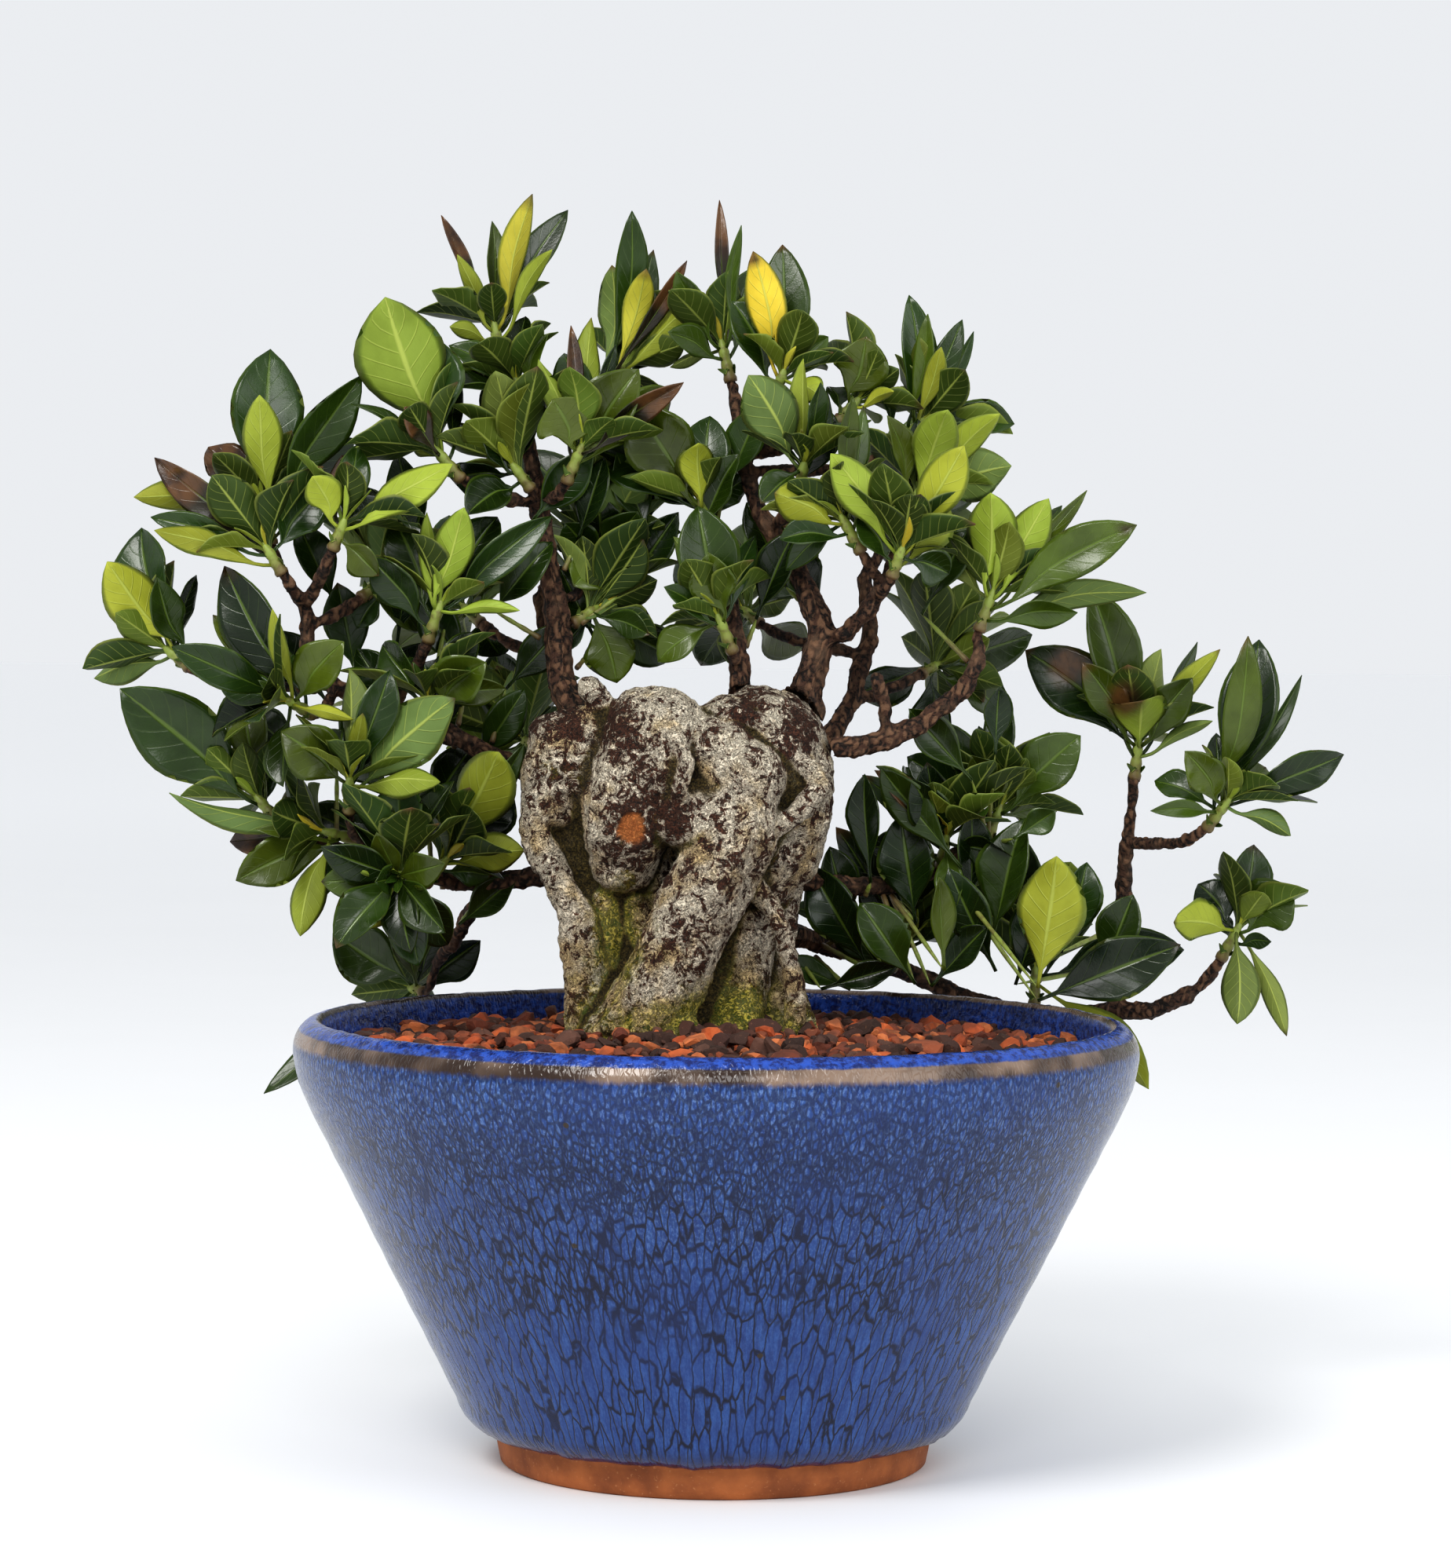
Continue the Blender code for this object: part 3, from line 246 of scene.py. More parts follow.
def make_pot():
    """Rings of (radius, height, thinness of glaze, depth of blue), round the section of the pot. Where the
    glaze is thin it breaks brown, and a tan highlight is painted over the break.
    """
    wall = [(80 + 46.1 * k / 22, 20.5 + 91 * k / 22, 0, 0) for k in range(23)]
    inner = [(117.6 - 46.1 * k / 8, 111.5 - 83.5 * k / 8, 0, 1) for k in range(9)]
    rings = [
        (9, 21, 0, 0), (9, 9, 0, 0), (50, 9, 0, 0), (55, 8.2, 0, 0), (57, 1, 0, 0), (58, 0.1, 0, 0),
        (64.8, 0, 0, 0), (65.9, 0.7, 0, 0), (66.6, 4, 0, 0), (67.4, 8.4, 0, 0), (67.6, GLAZE_LINE, 0.2, 0),
        (69.2, 10.0, 0, 0), (71.0, 10.5, 0, 0), (73.4, 11.5, 0, 0), (75.6, 13.2, 0, 0),
        (77.6, 15.5, 0, 0), (79.0, 18.0, 0, 0), *wall,
        (127.3, 114.4, 0, 0), (128.4, 117.4, 0, 0), (129.3, 120.4, 0.05, 0), (129.95, 123.4, 0.15, 0),
        (130.25, 126.0, 0.1, 0), (130.3, 128.0, 0.3, 0), (130.1, 129.8, 0.62, 0), (129.6, 131.4, 1, 0),
        (128.9, 132.8, 1, 0), (128.1, 133.9, 0.3, 0.7), (127.1, 134.9, 0, 1), (125.9, 135.8, 0, 1),
        (124.6, 136.3, 0, 1), (123.5, 136.5, 0.3, 0.8), (122.6, 136.3, 0.9, 0.3), (121.8, 135.7, 0.8, 0.3),
        (121.3, 134.6, 0.2, 0.8), (121.0, 132.8, 0, 1), (120.4, 128, 0, 1), (119.3, 121, 0, 1), *inner,
        (63.5, 21, 0, 1),
    ]
    points, faces, flow, up, thin, deep, run = [], [], [], [], [], [], 0.0
    for level, (radius, height, thinness, blue) in enumerate(rings):
        if level:
            run += math.dist(rings[level - 1][:2], (radius, height))
        for k in range(POT_SIDES):
            angle = 2 * math.pi * k / POT_SIDES
            way = Vector((math.cos(angle), math.sin(angle), 0))
            thrown = 0.5 * noise.noise(way * 1.3) * (radius / RIM_RADIUS) ** 2
            rise = 0.0
            # the glaze ends unevenly above the foot, lies lumpy on the rim and beads inside it
            if GLAZE_LINE - 2 < height < 13:
                rise = 0.9 * noise.noise(way * 7) + 0.5 * noise.noise(way * 19)
            if height > 133:
                rise += 0.35 * noise.noise(way * 34) + 0.2 * noise.noise(way * 5)
            if blue > 0.3 and radius > 118:
                thrown += 0.45 * noise.noise(Vector((way.x * 38, way.y * 38, height * 0.12)))
            # throwing lines on the wall
            if 20 < height < 127 and blue == 0:
                thrown += 0.12 * math.sin(height * 0.55)
                thrown += 0.25 * noise.noise(Vector((*(way.xy * 2), height / 25)))
            wide = min(radius + thrown, RIM_RADIUS + 0.5)
            points.append((way.x * wide, way.y * wide, max(0.0, min(height + rise, RIM_HEIGHT + 0.5))))
            flow.append((way.x * GLAZE_RUN, way.y * GLAZE_RUN, run))
            up.append(height / RIM_HEIGHT)
            thin.append(thinness)
            deep.append(blue)
    count = len(rings)
    for level in range(count):
        faces += band(level * POT_SIDES, (level + 1) % count * POT_SIDES, POT_SIDES)
    pot = piece("glazed_pot", points, faces, [make_glaze(), make_clay()], ["pot"])
    paint(pot, flow=flow, up_the_wall=up, thin=thin, deep=deep)
    for face in pot.data.polygons:
        level = face.index // POT_SIDES
        face.material_index = 1 if level < FOOT_RINGS or level == count - 1 else 0


make_pot()


# ------------------------------------------------------------------ drainage mesh
# A round of black plastic mesh over the hole in the pot's floor. It keeps the grit in and lets water out.

MESH_BLACK = (0.005, 0.005, 0.005)
MESH_WORN = (0.035, 0.035, 0.033)

strand = Finish("woven_mesh", 0.55)
threads = [
    strand.node("TexWave", {"Vector": strand.place(), "Scale": 160.0}, bands_direction=way).outputs["Fac"]
    for way in "XY"
]
weave = strand.maths("MAXIMUM", *threads)
strand.colour(strand.mix(weave, MESH_BLACK, MESH_WORN))
strand.bump(weave, 0.8, 0.5)
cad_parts["drainage_mesh"].material_slots[0].material = strand.material


# ------------------------------------------------------------------ soil
# Fired-clay grit in lumps of 3 to 10 mm, orange where it is fresh and dark brown where it is wet, heaped up
# to the trunk. It lies loose on a bed of finer, darker grit.

SOIL_TOP = RIM_HEIGHT - 11.0
SOIL_MOUND = 6.0
SOIL_RADIUS = 119.2
BED_FOOT_RADIUS = 97
BED_FOOT = 74
BED_DARK = (0.018, 0.009, 0.006)
BED_BROWN = (0.12, 0.045, 0.025)
GRIT_SPACING = 4.9
GRIT_SHAKE = 0.42
GRIT_SIZES = (1.3, 1.7, 2.1, 2.6, 3.1, 3.6, 4.6)
GRIT_CUTS = 7
GRIT_WET = (0.05, 0.022, 0.014)
GRIT_DUST = (0.55, 0.27, 0.14)
GRIT_TONES = (
    (0.42, 0.095, 0.026), (0.36, 0.075, 0.022), (0.50, 0.15, 0.05), (0.15, 0.038, 0.018),
    (0.075, 0.026, 0.015), (0.04, 0.018, 0.012), (0.10, 0.045, 0.03), (0.05, 0.02, 0.014),
    (0.22, 0.06, 0.025),
)


def soil_height(x, y):
    share = math.hypot(x, y) / SOIL_RADIUS
    rough = noise.noise(Vector((x, y, 0)) / 14) + 0.5 * noise.noise(Vector((x, y, 9)) / 5)
    return SOIL_TOP + SOIL_MOUND * (1 - share**2) + 0.9 * rough


def make_bed():
    sides, rounds = 120, 40
    points, faces = [(0, 0, soil_height(0, 0))], []
    for level in range(1, rounds + 1):
        radius = SOIL_RADIUS * level / rounds
        for k in range(sides):
            angle = 2 * math.pi * k / sides
            x, y = radius * math.cos(angle), radius * math.sin(angle)
            points.append((x, y, soil_height(x, y) - 1.0))
    for k in range(sides):
        angle = 2 * math.pi * k / sides
        points.append((BED_FOOT_RADIUS * math.cos(angle), BED_FOOT_RADIUS * math.sin(angle), BED_FOOT))
    points.append((0, 0, BED_FOOT))
    for k in range(sides):
        j = (k + 1) % sides
        faces.append((0, 1 + k, 1 + j))
        for level in range(rounds):
            low, high = 1 + level * sides, 1 + (level + 1) * sides
            faces.append((low + k, high + k, high + j, low + j))
        faces.append((1 + rounds * sides + k, len(points) - 1, 1 + rounds * sides + j))
    fines = Finish("fine_dark_grit", 0.95)
    coarse = fines.noise(420.0, 4.0, 0.65)
    fines.colour(fines.over(BED_DARK, BED_BROWN, coarse, 0.35, 0.68))
    fines.bump(coarse, 1.0, 1.5)
    piece("soil_bed", points, faces, [fines.material], ["soil"])


def round_ball(detail):
    """The corners and sides of a ball of radius 1."""
    bm = bmesh.new()
    bmesh.ops.create_icosphere(bm, subdivisions=detail, radius=1)
    corners = np.array([vert.co[:] for vert in bm.verts])
    sides = np.array([[vert.index for vert in face.verts] for face in bm.faces])
    bm.free()
    return corners, sides


def make_grit():
    """Balls cut flat on a few sides and squashed, so that each is an angular lump."""
    rng = random.Random(4)
    unit, sides = round_ball(2)
    places = []
    rows = int(SOIL_RADIUS / GRIT_SPACING) + 1
    for i in range(-rows, rows + 1):
        for j in range(-rows, rows + 1):
            x = (i + 0.5 * (j % 2) + rng.uniform(-GRIT_SHAKE, GRIT_SHAKE)) * GRIT_SPACING
            y = (j * 0.9 + rng.uniform(-GRIT_SHAKE, GRIT_SHAKE)) * GRIT_SPACING
            size = rng.choice(GRIT_SIZES) * rng.uniform(0.85, 1.15)
            if math.hypot(x, y) < SOIL_RADIUS - size * 0.9:
                places.append((x, y, size))
    points, faces, colours = [], [], []
    for x, y, size in places:
        shape = Vector([size * rng.uniform(*reach) for reach in ((0.9, 1.35), (0.75, 1.1), (0.55, 0.9))])
        turn = Matrix.Rotation(rng.uniform(0, 6.3), 3, "Z") @ Matrix.Rotation(rng.uniform(-0.6, 0.6), 3, "X")
        cuts = []
        for _ in range(GRIT_CUTS):
            way = Vector([rng.gauss(0, 1) for _ in range(3)]).normalized()
            cuts.append((way, rng.uniform(0.34, 0.72)))
        tone = rng.choice(GRIT_TONES)
        light = rng.uniform(0.75, 1.25)
        base = len(points)
        middle = Vector((x, y, soil_height(x, y) + size * rng.uniform(-0.15, 0.5)))
        for way in map(Vector, unit):
            corner = way.copy()
            for normal, depth in cuts:
                over = corner.dot(normal) - depth
                if over > 0:
                    corner -= normal * over
            corner *= 1 + 0.16 * noise.noise(way * 2.2 + middle)
            corner = Vector(a * b for a, b in zip(corner, shape))
            points.append(middle + turn @ corner)
            colours.append((*(c * light for c in tone), 1))
        faces += (sides + base).tolist()
    grit = Finish("fired_clay_grit", 0.88)
    dust = grit.noise(700.0, 4.0, 0.7)
    patch = grit.noise(160.0, 2.0)
    colour = grit.over(grit.read("grit_tone", "Color"), GRIT_WET, patch, 0.42, 0.66, 0.0, 0.55)
    colour = grit.over(colour, GRIT_DUST, dust, 0.6, 0.75, 0.0, 0.4)
    grit.colour(colour)
    grit.bump(dust, 0.7, 0.5)
    lumps = piece("soil_grit", points, faces, [grit.material], smooth=False)
    paint(lumps, grit_tone=colours)


make_bed()
make_grit()


# ------------------------------------------------------------------ trunk
# One old, swollen trunk whose root crown stands clear of the soil on four legs. Its brown bark lies under a
# crust of white lichen, with moss in the folds and an orange scar where a branch was cut off.

TRUNK_GRAIN = 1.15
LOBE_CLOSENESS = 0.3
OPENING_DEPTH = 1300
OPENING_MIDDLE = 250
# Swollen parts of the trunk: each a row of balls, as across, back, up and radius
TRUNK_LOBES = (
    # main front leg, from its shoulder down to its flared foot
    ((-2, 11, 213, 12), (5, 9, 204, 14), (4.5, 6, 195, 14), (0, 4, 184, 13.4), (-5, 2, 174, 13),
     (-11, 1, 161, 12.8), (-16, 1, 149, 13.2), (-22, 3, 136, 14.6), (-26, 6, 123, 17.5)),
    # domed crown, running down to the lip over the recess
    ((-20, 11, 221.5, 18), (-24, 10, 212, 17.2), (-27.5, 9, 202, 15.4), (-29, 9, 193, 13.2),
     (-29.5, 11, 186, 11)),
    # bark that fills the crease between the dome and the lobe at the left
    ((-42, 15, 222, 10.5), (-43, 15, 210, 9.5), (-45, 20, 197, 8), (-45, 22, 184, 8), (-42, 22, 171, 8)),
    # lobe at the upper left, and the leg that curves down from it
    ((-48.5, 16, 221, 11), (-50, 16, 212, 11), (-51, 16, 203, 9.4)),
    ((-54, 14, 205, 6.8), (-56.5, 13, 195, 5.4), (-53.5, 12, 185, 5), (-48, 11, 176, 5),
     (-43.5, 11, 167, 5.8), (-41.5, 10, 154, 6.8), (-40, 10, 142, 7.6), (-38, 12, 124, 9)),
    # bulge at the right rear, tapering to its underside
    ((13, 26, 220, 20), (17, 27, 210, 19), (18, 27, 200, 17.6), (16, 27, 190, 15.6), (12, 26, 181, 12.5)),
    ((3, 18, 224, 13), (-6, 20, 218, 14)),
    # shoulder that wraps over from the dome, and the bark that joins it to the main leg below the crease
    ((-7, 8, 221, 9.5), (1, 7, 217, 11.5), (8, 7, 210, 12.5)),
    ((-19, 7, 203, 11.5), (-9, 6, 199, 12), (0, 6, 196, 12)),
    # bark between the main leg and the right leg
    ((2, 22, 178, 12), (-1, 22, 160, 12), (-3, 20, 142, 13), (-5, 18, 124, 14)),
    # back of the trunk, behind the mossy recess
    ((-42, 24, 214, 12), (-41, 24, 196, 12), (-37, 24, 178, 11), (-34, 23, 160, 10.5), (-33, 21, 140, 11),
     (-31, 20, 122, 13)),
    ((-26, 27, 190, 15), (-25, 27, 170, 14), (-22, 26, 150, 14), (-18, 26, 130, 16.4), (-14, 26, 116, 15)),
    # right leg and its spread foot
    ((11, 21, 188, 9), (10.5, 19, 170, 7.6), (9, 16, 152, 7.8), (6, 12, 138, 9), (2, 11, 123, 11)),
    ((17, 31, 190, 10), (18, 31, 168, 7), (17, 29, 148, 7), (15, 26, 122, 9)),
    # folds in the recess and on the lower legs
    ((-35, 14, 173, 5), (-33.5, 14, 158, 5), (-35, 14, 142, 6)),
    ((-26, 15, 172, 4.6), (-24, 14, 156, 4.4), (-27, 13, 140, 5)),
    # toes that run out into the grit
    ((-30, 2, 138, 7), (-37, -2, 128, 6), (-42, -4, 121, 5)),
    ((-14, 0, 140, 7), (-10, -5, 128, 6.5), (-8, -7, 119, 6)),
    ((5, 8, 138, 6), (10, 3, 128, 5), (13, 0, 121, 4.5)),
    ((21, 27, 150, 5), (29, 27, 130, 4.6), (35, 26, 120, 4)),
)
THIN_LOBES = (
    # stub of a cut branch on the shoulder
    ((-33, 14, 229, 4.2), (-36.5, 12, 234.5, 4.0), (-40, 10.5, 238.5, 4.3)),
    # thin root that arches down at the right
    ((11, 11, 178, 4), (16, 7, 172, 3.4), (20.5, 5, 163, 3.2), (23.5, 4, 150, 3.3), (24.5, 6, 137, 3.8),
     (22, 9, 122, 4.8)),
    # root that leaves the right bulge and comes back into the shoulder
    ((25, 11, 216, 2.6), (30, 9.5, 213, 3.4), (31.5, 8, 208.5, 3.5), (28, 7, 203.5, 3.4),
     (23.5, 6, 199.5, 3.5), (17, 6, 195, 3.2)),
    # veins of old wood over the dome and the main leg
    ((-14, -4, 226, 2.4), (-10, -5.5, 215, 2.6), (-12, -6, 206, 2.2)),
    ((-34, -3, 213, 2.4), (-38, -1.5, 203, 2.6), (-38, 0, 192, 2.4)),
    ((10, -4, 200, 2.6), (6, -7.5, 188, 2.8), (-1, -10.5, 174, 2.4)),
    ((-15, -10, 160, 2.2), (-24, -9, 147, 2.8), (-33, -8, 134, 3.4)),
    ((3, 8, 232, 2.2), (13, 7, 228, 2.6), (22, 9.5, 219, 2.4)),
)
# Scar of the cut branch: across, up, and how far it reaches each way
SCAR = (-26.8, 195.4, 4.1, 4.7)
# Patches on the front of the trunk. Bare of lichen: across, up, reach. The others: across, up, reach each
# way and strength, for the palest lichen, the moss and the painted shade of the darkest hollows
BARE_BARK = ((-32, 227, 7.5), (-27, 219, 6.5), (-23, 212, 5), (-17.5, 202, 7), (-13, 197, 5.5),
             (-27, 196, 8), (9, 233, 6), (24, 224, 6), (-46, 226, 5))
PALE_BARK = ((-38, 236, 5.5, 5.5, 0.9), (-13, 229, 11, 8, 0.5), (6, 206, 12, 9, 0.4))
MOSSY_BARK = ((3, 132, 14, 14, 0.9), (-31, 164, 9, 16, 0.75), (-53, 214, 8, 10, 0.32))
HOLLOW_SHADE_SPOTS = ((-42, 153, 6, 17, 0.4), (19, 155, 5, 13, 0.5))
LICHEN = (0.90, 0.81, 0.64)
LICHEN_CREAM = (0.74, 0.56, 0.30)
LICHEN_STAIN = (0.26, 0.16, 0.08)
BARK_RED = (0.098, 0.037, 0.020)
BARK_BLACK = (0.016, 0.010, 0.007)
MOSS_YELLOW = (0.50, 0.43, 0.06)
MOSS_GREEN = (0.060, 0.095, 0.010)
# near-black browns of the shade painted into the trunk's folds, recesses and undersides
HOLLOW_SHADE_BLACK = (0.014, 0.009, 0.004)
HOLLOW_SHADE_BROWN = (0.11, 0.075, 0.022)
WOOD_RED = (0.34, 0.075, 0.018)
WOOD_ORANGE = (0.72, 0.30, 0.09)


def widened(x, y, z):
    """The plant opens out a little towards its back."""
    opening = 1 + y / OPENING_DEPTH
    return Vector((x * opening, y, OPENING_MIDDLE + (z - OPENING_MIDDLE) * opening))


def balls_along(ball, lobes, points, faces):
    """Balls set close along a row of lobes, for one skin to go over."""
    corners, sides = ball
    for (x0, y0, z0, r0), (x1, y1, z1, r1) in zip(lobes, lobes[1:]):
        start, end = widened(x0, y0, z0), widened(x1, y1, z1)
        steps = max(2, math.ceil((end - start).length / (LOBE_CLOSENESS * min(r0, r1))))
        for i in range(steps + 1):
            share = i / steps
            faces.extend((sides + len(points)).tolist())
            points.extend((corners * (r0 + (r1 - r0) * share) + start.lerp(end, share)).tolist())


def skinned(obj, grain, rounds):
    """One skin over everything in the mesh, smoothed where its parts meet."""
    skin = obj.modifiers.new("skin", "REMESH")
    skin.mode = "VOXEL"
    skin.voxel_size = grain * MM
    soften = obj.modifiers.new("soften", "SMOOTH")
    soften.factor = 0.5
    soften.iterations = rounds
    mesh = bpy.data.meshes.new_from_object(obj.evaluated_get(bpy.context.evaluated_depsgraph_get()))
    obj.modifiers.clear()
    obj.data = mesh


class Skin:
    """The points of a mesh as arrays, in millimetres, with their neighbours."""

    def __init__(self, obj):
        self.obj = obj
        mesh = obj.data
        self.points = self.array(mesh.vertices, "co", 3, np.float32).astype(float) / MM
        self.normals = self.array(mesh.vertex_normals, "vector", 3, np.float32).astype(float)
        self.edges = self.array(mesh.edges, "vertices", 2, np.int32)
        self.degree = np.bincount(self.edges.ravel(), minlength=len(self.points))[:, None]

    def array(self, things, key, columns, kind):
        values = np.empty(len(things) * columns, kind)
        things.foreach_get(key, values)
        return values.reshape(-1, columns)

    def blurred(self, values, rounds):
        for _ in range(rounds):
            total = np.zeros_like(values)
            np.add.at(total, self.edges[:, 0], values[self.edges[:, 1]])
            np.add.at(total, self.edges[:, 1], values[self.edges[:, 0]])
            values = total / self.degree
        return values

    def hollows(self, rounds):
        """How far each point lies below the surface around it."""
        return ((self.blurred(self.points, rounds) - self.points) * self.normals).sum(1)

    def raise_by(self, heights):
        self.points += self.normals * np.asarray(heights)[:, None]
        self.obj.data.vertices.foreach_set("co", (self.points * MM).astype(np.float32).ravel())
        self.obj.data.update()


def make_bark_with_lichen():
    bark = Finish("bark_with_lichen", 0.82, Specular_IOR_Level=0.3)
    broad = bark.noise(55.0, 3.0, 0.5)
    patch = bark.noise(260.0, 6.0, 0.78, 0.8)
    worms = bark.noise(620.0, 3.0, 0.6, 1.8)
    fine = bark.noise(1300.0, 3.0, 0.65, 0.6)
    crust = bark.scaled(broad, 0.30, patch)
    crust = bark.scaled(fine, -0.20, crust)
    crust = bark.scaled(bark.read("bare"), -0.13, crust)
    creamy = bark.scaled(bark.read("moss"), 0.38, bark.noise(85.0, 3.0))
    colour = bark.over(LICHEN, LICHEN_CREAM, creamy, 0.52, 0.76)
    colour = bark.over(colour, LICHEN_STAIN, fine, 0.36, 0.56, 0.5, 0.0)
    red = bark.over(BARK_BLACK, BARK_RED, fine, 0.38, 0.55)
    colour = bark.over(red, colour, crust, 0.505, 0.545)
    ridge = bark.maths("ABSOLUTE", bark.maths("SUBTRACT", worms, 0.5))
    colour = bark.over(colour, BARK_BLACK, ridge, 0.006, 0.030, 0.92, 0.0)
    colour = bark.over(colour, BARK_BLACK, worms, 0.36, 0.42, 0.9, 0.0)
    wet = bark.noise(140.0, 5.0, 0.7)
    moss = bark.maths("ADD", bark.read("moss"), bark.scaled(wet, 1.2, -0.6))
    mossy = bark.over(MOSS_GREEN, MOSS_YELLOW, worms, 0.40, 0.60)
    colour = bark.over(colour, mossy, moss, 0.30, 0.80, 0.0, 0.82)
    # painted shade: the trunk's folds, recesses and undersides are darkened to a textured near-black brown
    shade_depth = bark.scaled(worms, 1.1, bark.maths("SUBTRACT", bark.read("hollow"), 0.55))
    hollow_shade_colour = bark.over(HOLLOW_SHADE_BLACK, HOLLOW_SHADE_BROWN, fine, 0.42, 0.62)
    colour = bark.over(colour, hollow_shade_colour, shade_depth, 0.25, 0.85, 0.0, 0.95)
    wood = bark.mix(bark.noise(240.0, 3.0, 0.5, 1.5), WOOD_RED, WOOD_ORANGE)
    colour = bark.mix(bark.read("scar"), colour, wood)
    bark.colour(colour)
    rough = bark.scaled(bark.step(ridge, 0.0, 0.06), 0.8, bark.scaled(patch, 1.2))
    rough = bark.scaled(fine, 0.5, rough)
    bark.bump(rough, 1.0, 1.0)
    return bark.material


def patches(x, z, places):
    """Patches that fade outwards, added together."""
    total = 0
    for across, up, wide, tall, strength in places:
        total = total + strength * np.exp(-((x - across) ** 2 / wide**2 + (z - up) ** 2 / tall**2))
    return total


def make_trunk():
    points, faces = [], []
    for rows, detail in ((TRUNK_LOBES, 3), (THIN_LOBES, 2)):
        for lobes in rows:
            balls_along(round_ball(detail), lobes, points, faces)
    trunk = piece("trunk_bark", points, faces, [], ["trunk"])
    skinned(trunk, TRUNK_GRAIN, 7)
    skin = Skin(trunk)
    fold = skin.hollows(24)
    x, y, z = skin.points.T
    front = skin.normals[:, 1] < 0.1
    scar_x, scar_z, scar_wide, scar_tall = SCAR
    around = np.arctan2(z - scar_z, x - scar_x)
    off_scar = np.hypot((x - scar_x) / scar_wide, (z - scar_z) / scar_tall)
    off_scar *= 1 + 0.07 * np.sin(3 * around + 1) + 0.05 * np.sin(5 * around)
    in_scar = front & (off_scar < 1.0)
    lip = np.where(front, 1.3 * np.exp(-((off_scar - 1.35) / 0.3) ** 2), 0.0)
    heights = []
    for point in skin.points:
        place = Vector(point)
        ridge = noise.noise(Vector((place.x / 7, place.y / 7, place.z / 16)))
        knots = noise.noise(place / 11 + Vector((5, 0, 0)))
        crust = noise.noise(place / 2.6)
        grit = noise.noise(place / 1.3 + Vector((0, 7, 0)))
        heights.append(1.1 * ridge + 1.0 * knots + 0.6 * crust + 0.4 * grit)
    skin.raise_by(np.where(in_scar, -0.6, np.array(heights) + lip))
    bare = -patches(x, z, PALE_BARK) * front
    for spot_x, spot_z, size in BARE_BARK:
        spot = np.exp(-((x - spot_x) ** 2 + (z - spot_z) ** 2) / size**2)
        bare = np.where(front & (spot > 0.05), np.maximum(bare, spot), bare)
    low = np.clip((158 - z) / 34, 0, 1)
    moss = 0.14 + 0.5 * low + patches(x, z, MOSSY_BARK) + np.clip(fold, 0, 1) * 0.55
    moss = np.where(z > 200, moss - 0.12, moss)
    # painted shade: strongest in the folds, in the listed spots, and on bark that faces down
    hollow = np.clip((fold - 0.1) / 0.9, 0, 1) + patches(x, z, HOLLOW_SHADE_SPOTS)
    under = np.clip(-skin.normals[:, 2] - 0.35, 0, 1)
    paint(trunk, bare=bare, moss=np.where(in_scar, 0, moss), hollow=np.clip(hollow + 0.5 * under, 0, 1),
          scar=np.clip((1.05 - off_scar) * 8, 0, 1) * front)
    trunk.data.materials.append(make_bark_with_lichen())
    trunk.data.shade_smooth()


make_trunk()


# ------------------------------------------------------------------ limbs
# Woody branches with dark red-brown bark that flakes and is ringed with old leaf scars. They grow out of
# the trunk, and each carries the thin twigs of its shoots.

LIMB_GRAIN = 0.75
# The CAD limbs are stout, so what is thicker than a twig is slimmed by a share of the rest of its thickness
TWIG_THICKNESS = 4.0
LIMB_THICKNESS = 15.0
LIMB_SLIM = 0.27
FLAKY_BLACK = (0.006, 0.004, 0.003)
FLAKY_BROWN = (0.058, 0.028, 0.017)
FLAKY_GREY = (0.15, 0.09, 0.055)
FLAKY_EDGE = (0.21, 0.115, 0.065)
LIMB_NAMES = [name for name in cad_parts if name.startswith("limb_")]


def make_flaky_bark():
    bark = Finish("flaky_bark", 0.8, Specular_IOR_Level=0.3)
    plates = bark.noise(420.0, 4.0, 0.65, 1.2)
    wide = bark.noise(110.0, 3.0)
    colour = bark.over(FLAKY_BLACK, FLAKY_BROWN, plates, 0.42, 0.58)
    colour = bark.over(colour, FLAKY_GREY, wide, 0.52, 0.72, 0.0, 0.6)
    colour = bark.over(colour, FLAKY_EDGE, bark.read("flake"), 0.35, 1.0, 0.0, 0.6)
    bark.colour(colour)
    bark.bump(plates, 1.0, 1.0)
    return bark.material


def make_limb(name, bark):
    limb = piece(name.replace("limb", "branch"), [], [], [], [name])
    bm = bmesh.new()
    bm.from_mesh(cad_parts[name].data)
    bmesh.ops.remove_doubles(bm, verts=bm.verts, dist=1e-5)
    bm.to_mesh(limb.data)
    bm.free()
    skinned(limb, LIMB_GRAIN, 5)
    skin = Skin(limb)
    tree = BVHTree.FromPolygons(skin.points.tolist(), [tuple(face.vertices) for face in limb.data.polygons])
    through = []
    for point, normal in zip(skin.points, skin.normals):
        inward = -Vector(normal)
        hit = tree.ray_cast(Vector(point) + inward * 0.3, inward, 30)[3]
        through.append(TWIG_THICKNESS if hit is None else min(hit + 0.3, LIMB_THICKNESS))
    through = skin.blurred(np.array(through)[:, None], 6)[:, 0]
    heights, flakes = [], []
    for point, width in zip(skin.points, through):
        place = Vector(point)
        bend = noise.noise(place / 9)
        knuckle = noise.noise(place / 4.2 + Vector((3, 1, 4)))
        flake = noise.noise(Vector((place.x / 1.9, place.y / 1.9, place.z / 3.4)))
        slimmer = LIMB_SLIM * max(0.0, width - TWIG_THICKNESS)
        heights.append(0.45 * bend + 0.8 * max(knuckle, -0.3) + 0.7 * abs(flake) - 0.1 - slimmer)
        flakes.append(abs(flake) * 2)
    skin.raise_by(heights)
    paint(limb, flake=flakes)
    limb.data.materials.append(bark)
    limb.data.shade_smooth()


flaky_bark = make_flaky_bark()
for limb_name in LIMB_NAMES:
    make_limb(limb_name, flaky_bark)


# ------------------------------------------------------------------ leafy shoots
# Each shoot ends a twig in a whorl of thick evergreen leaves round a green stem and a bud. A leaf is glossy
# and dark above and duller and paler below, with a pale midrib and arching side veins.

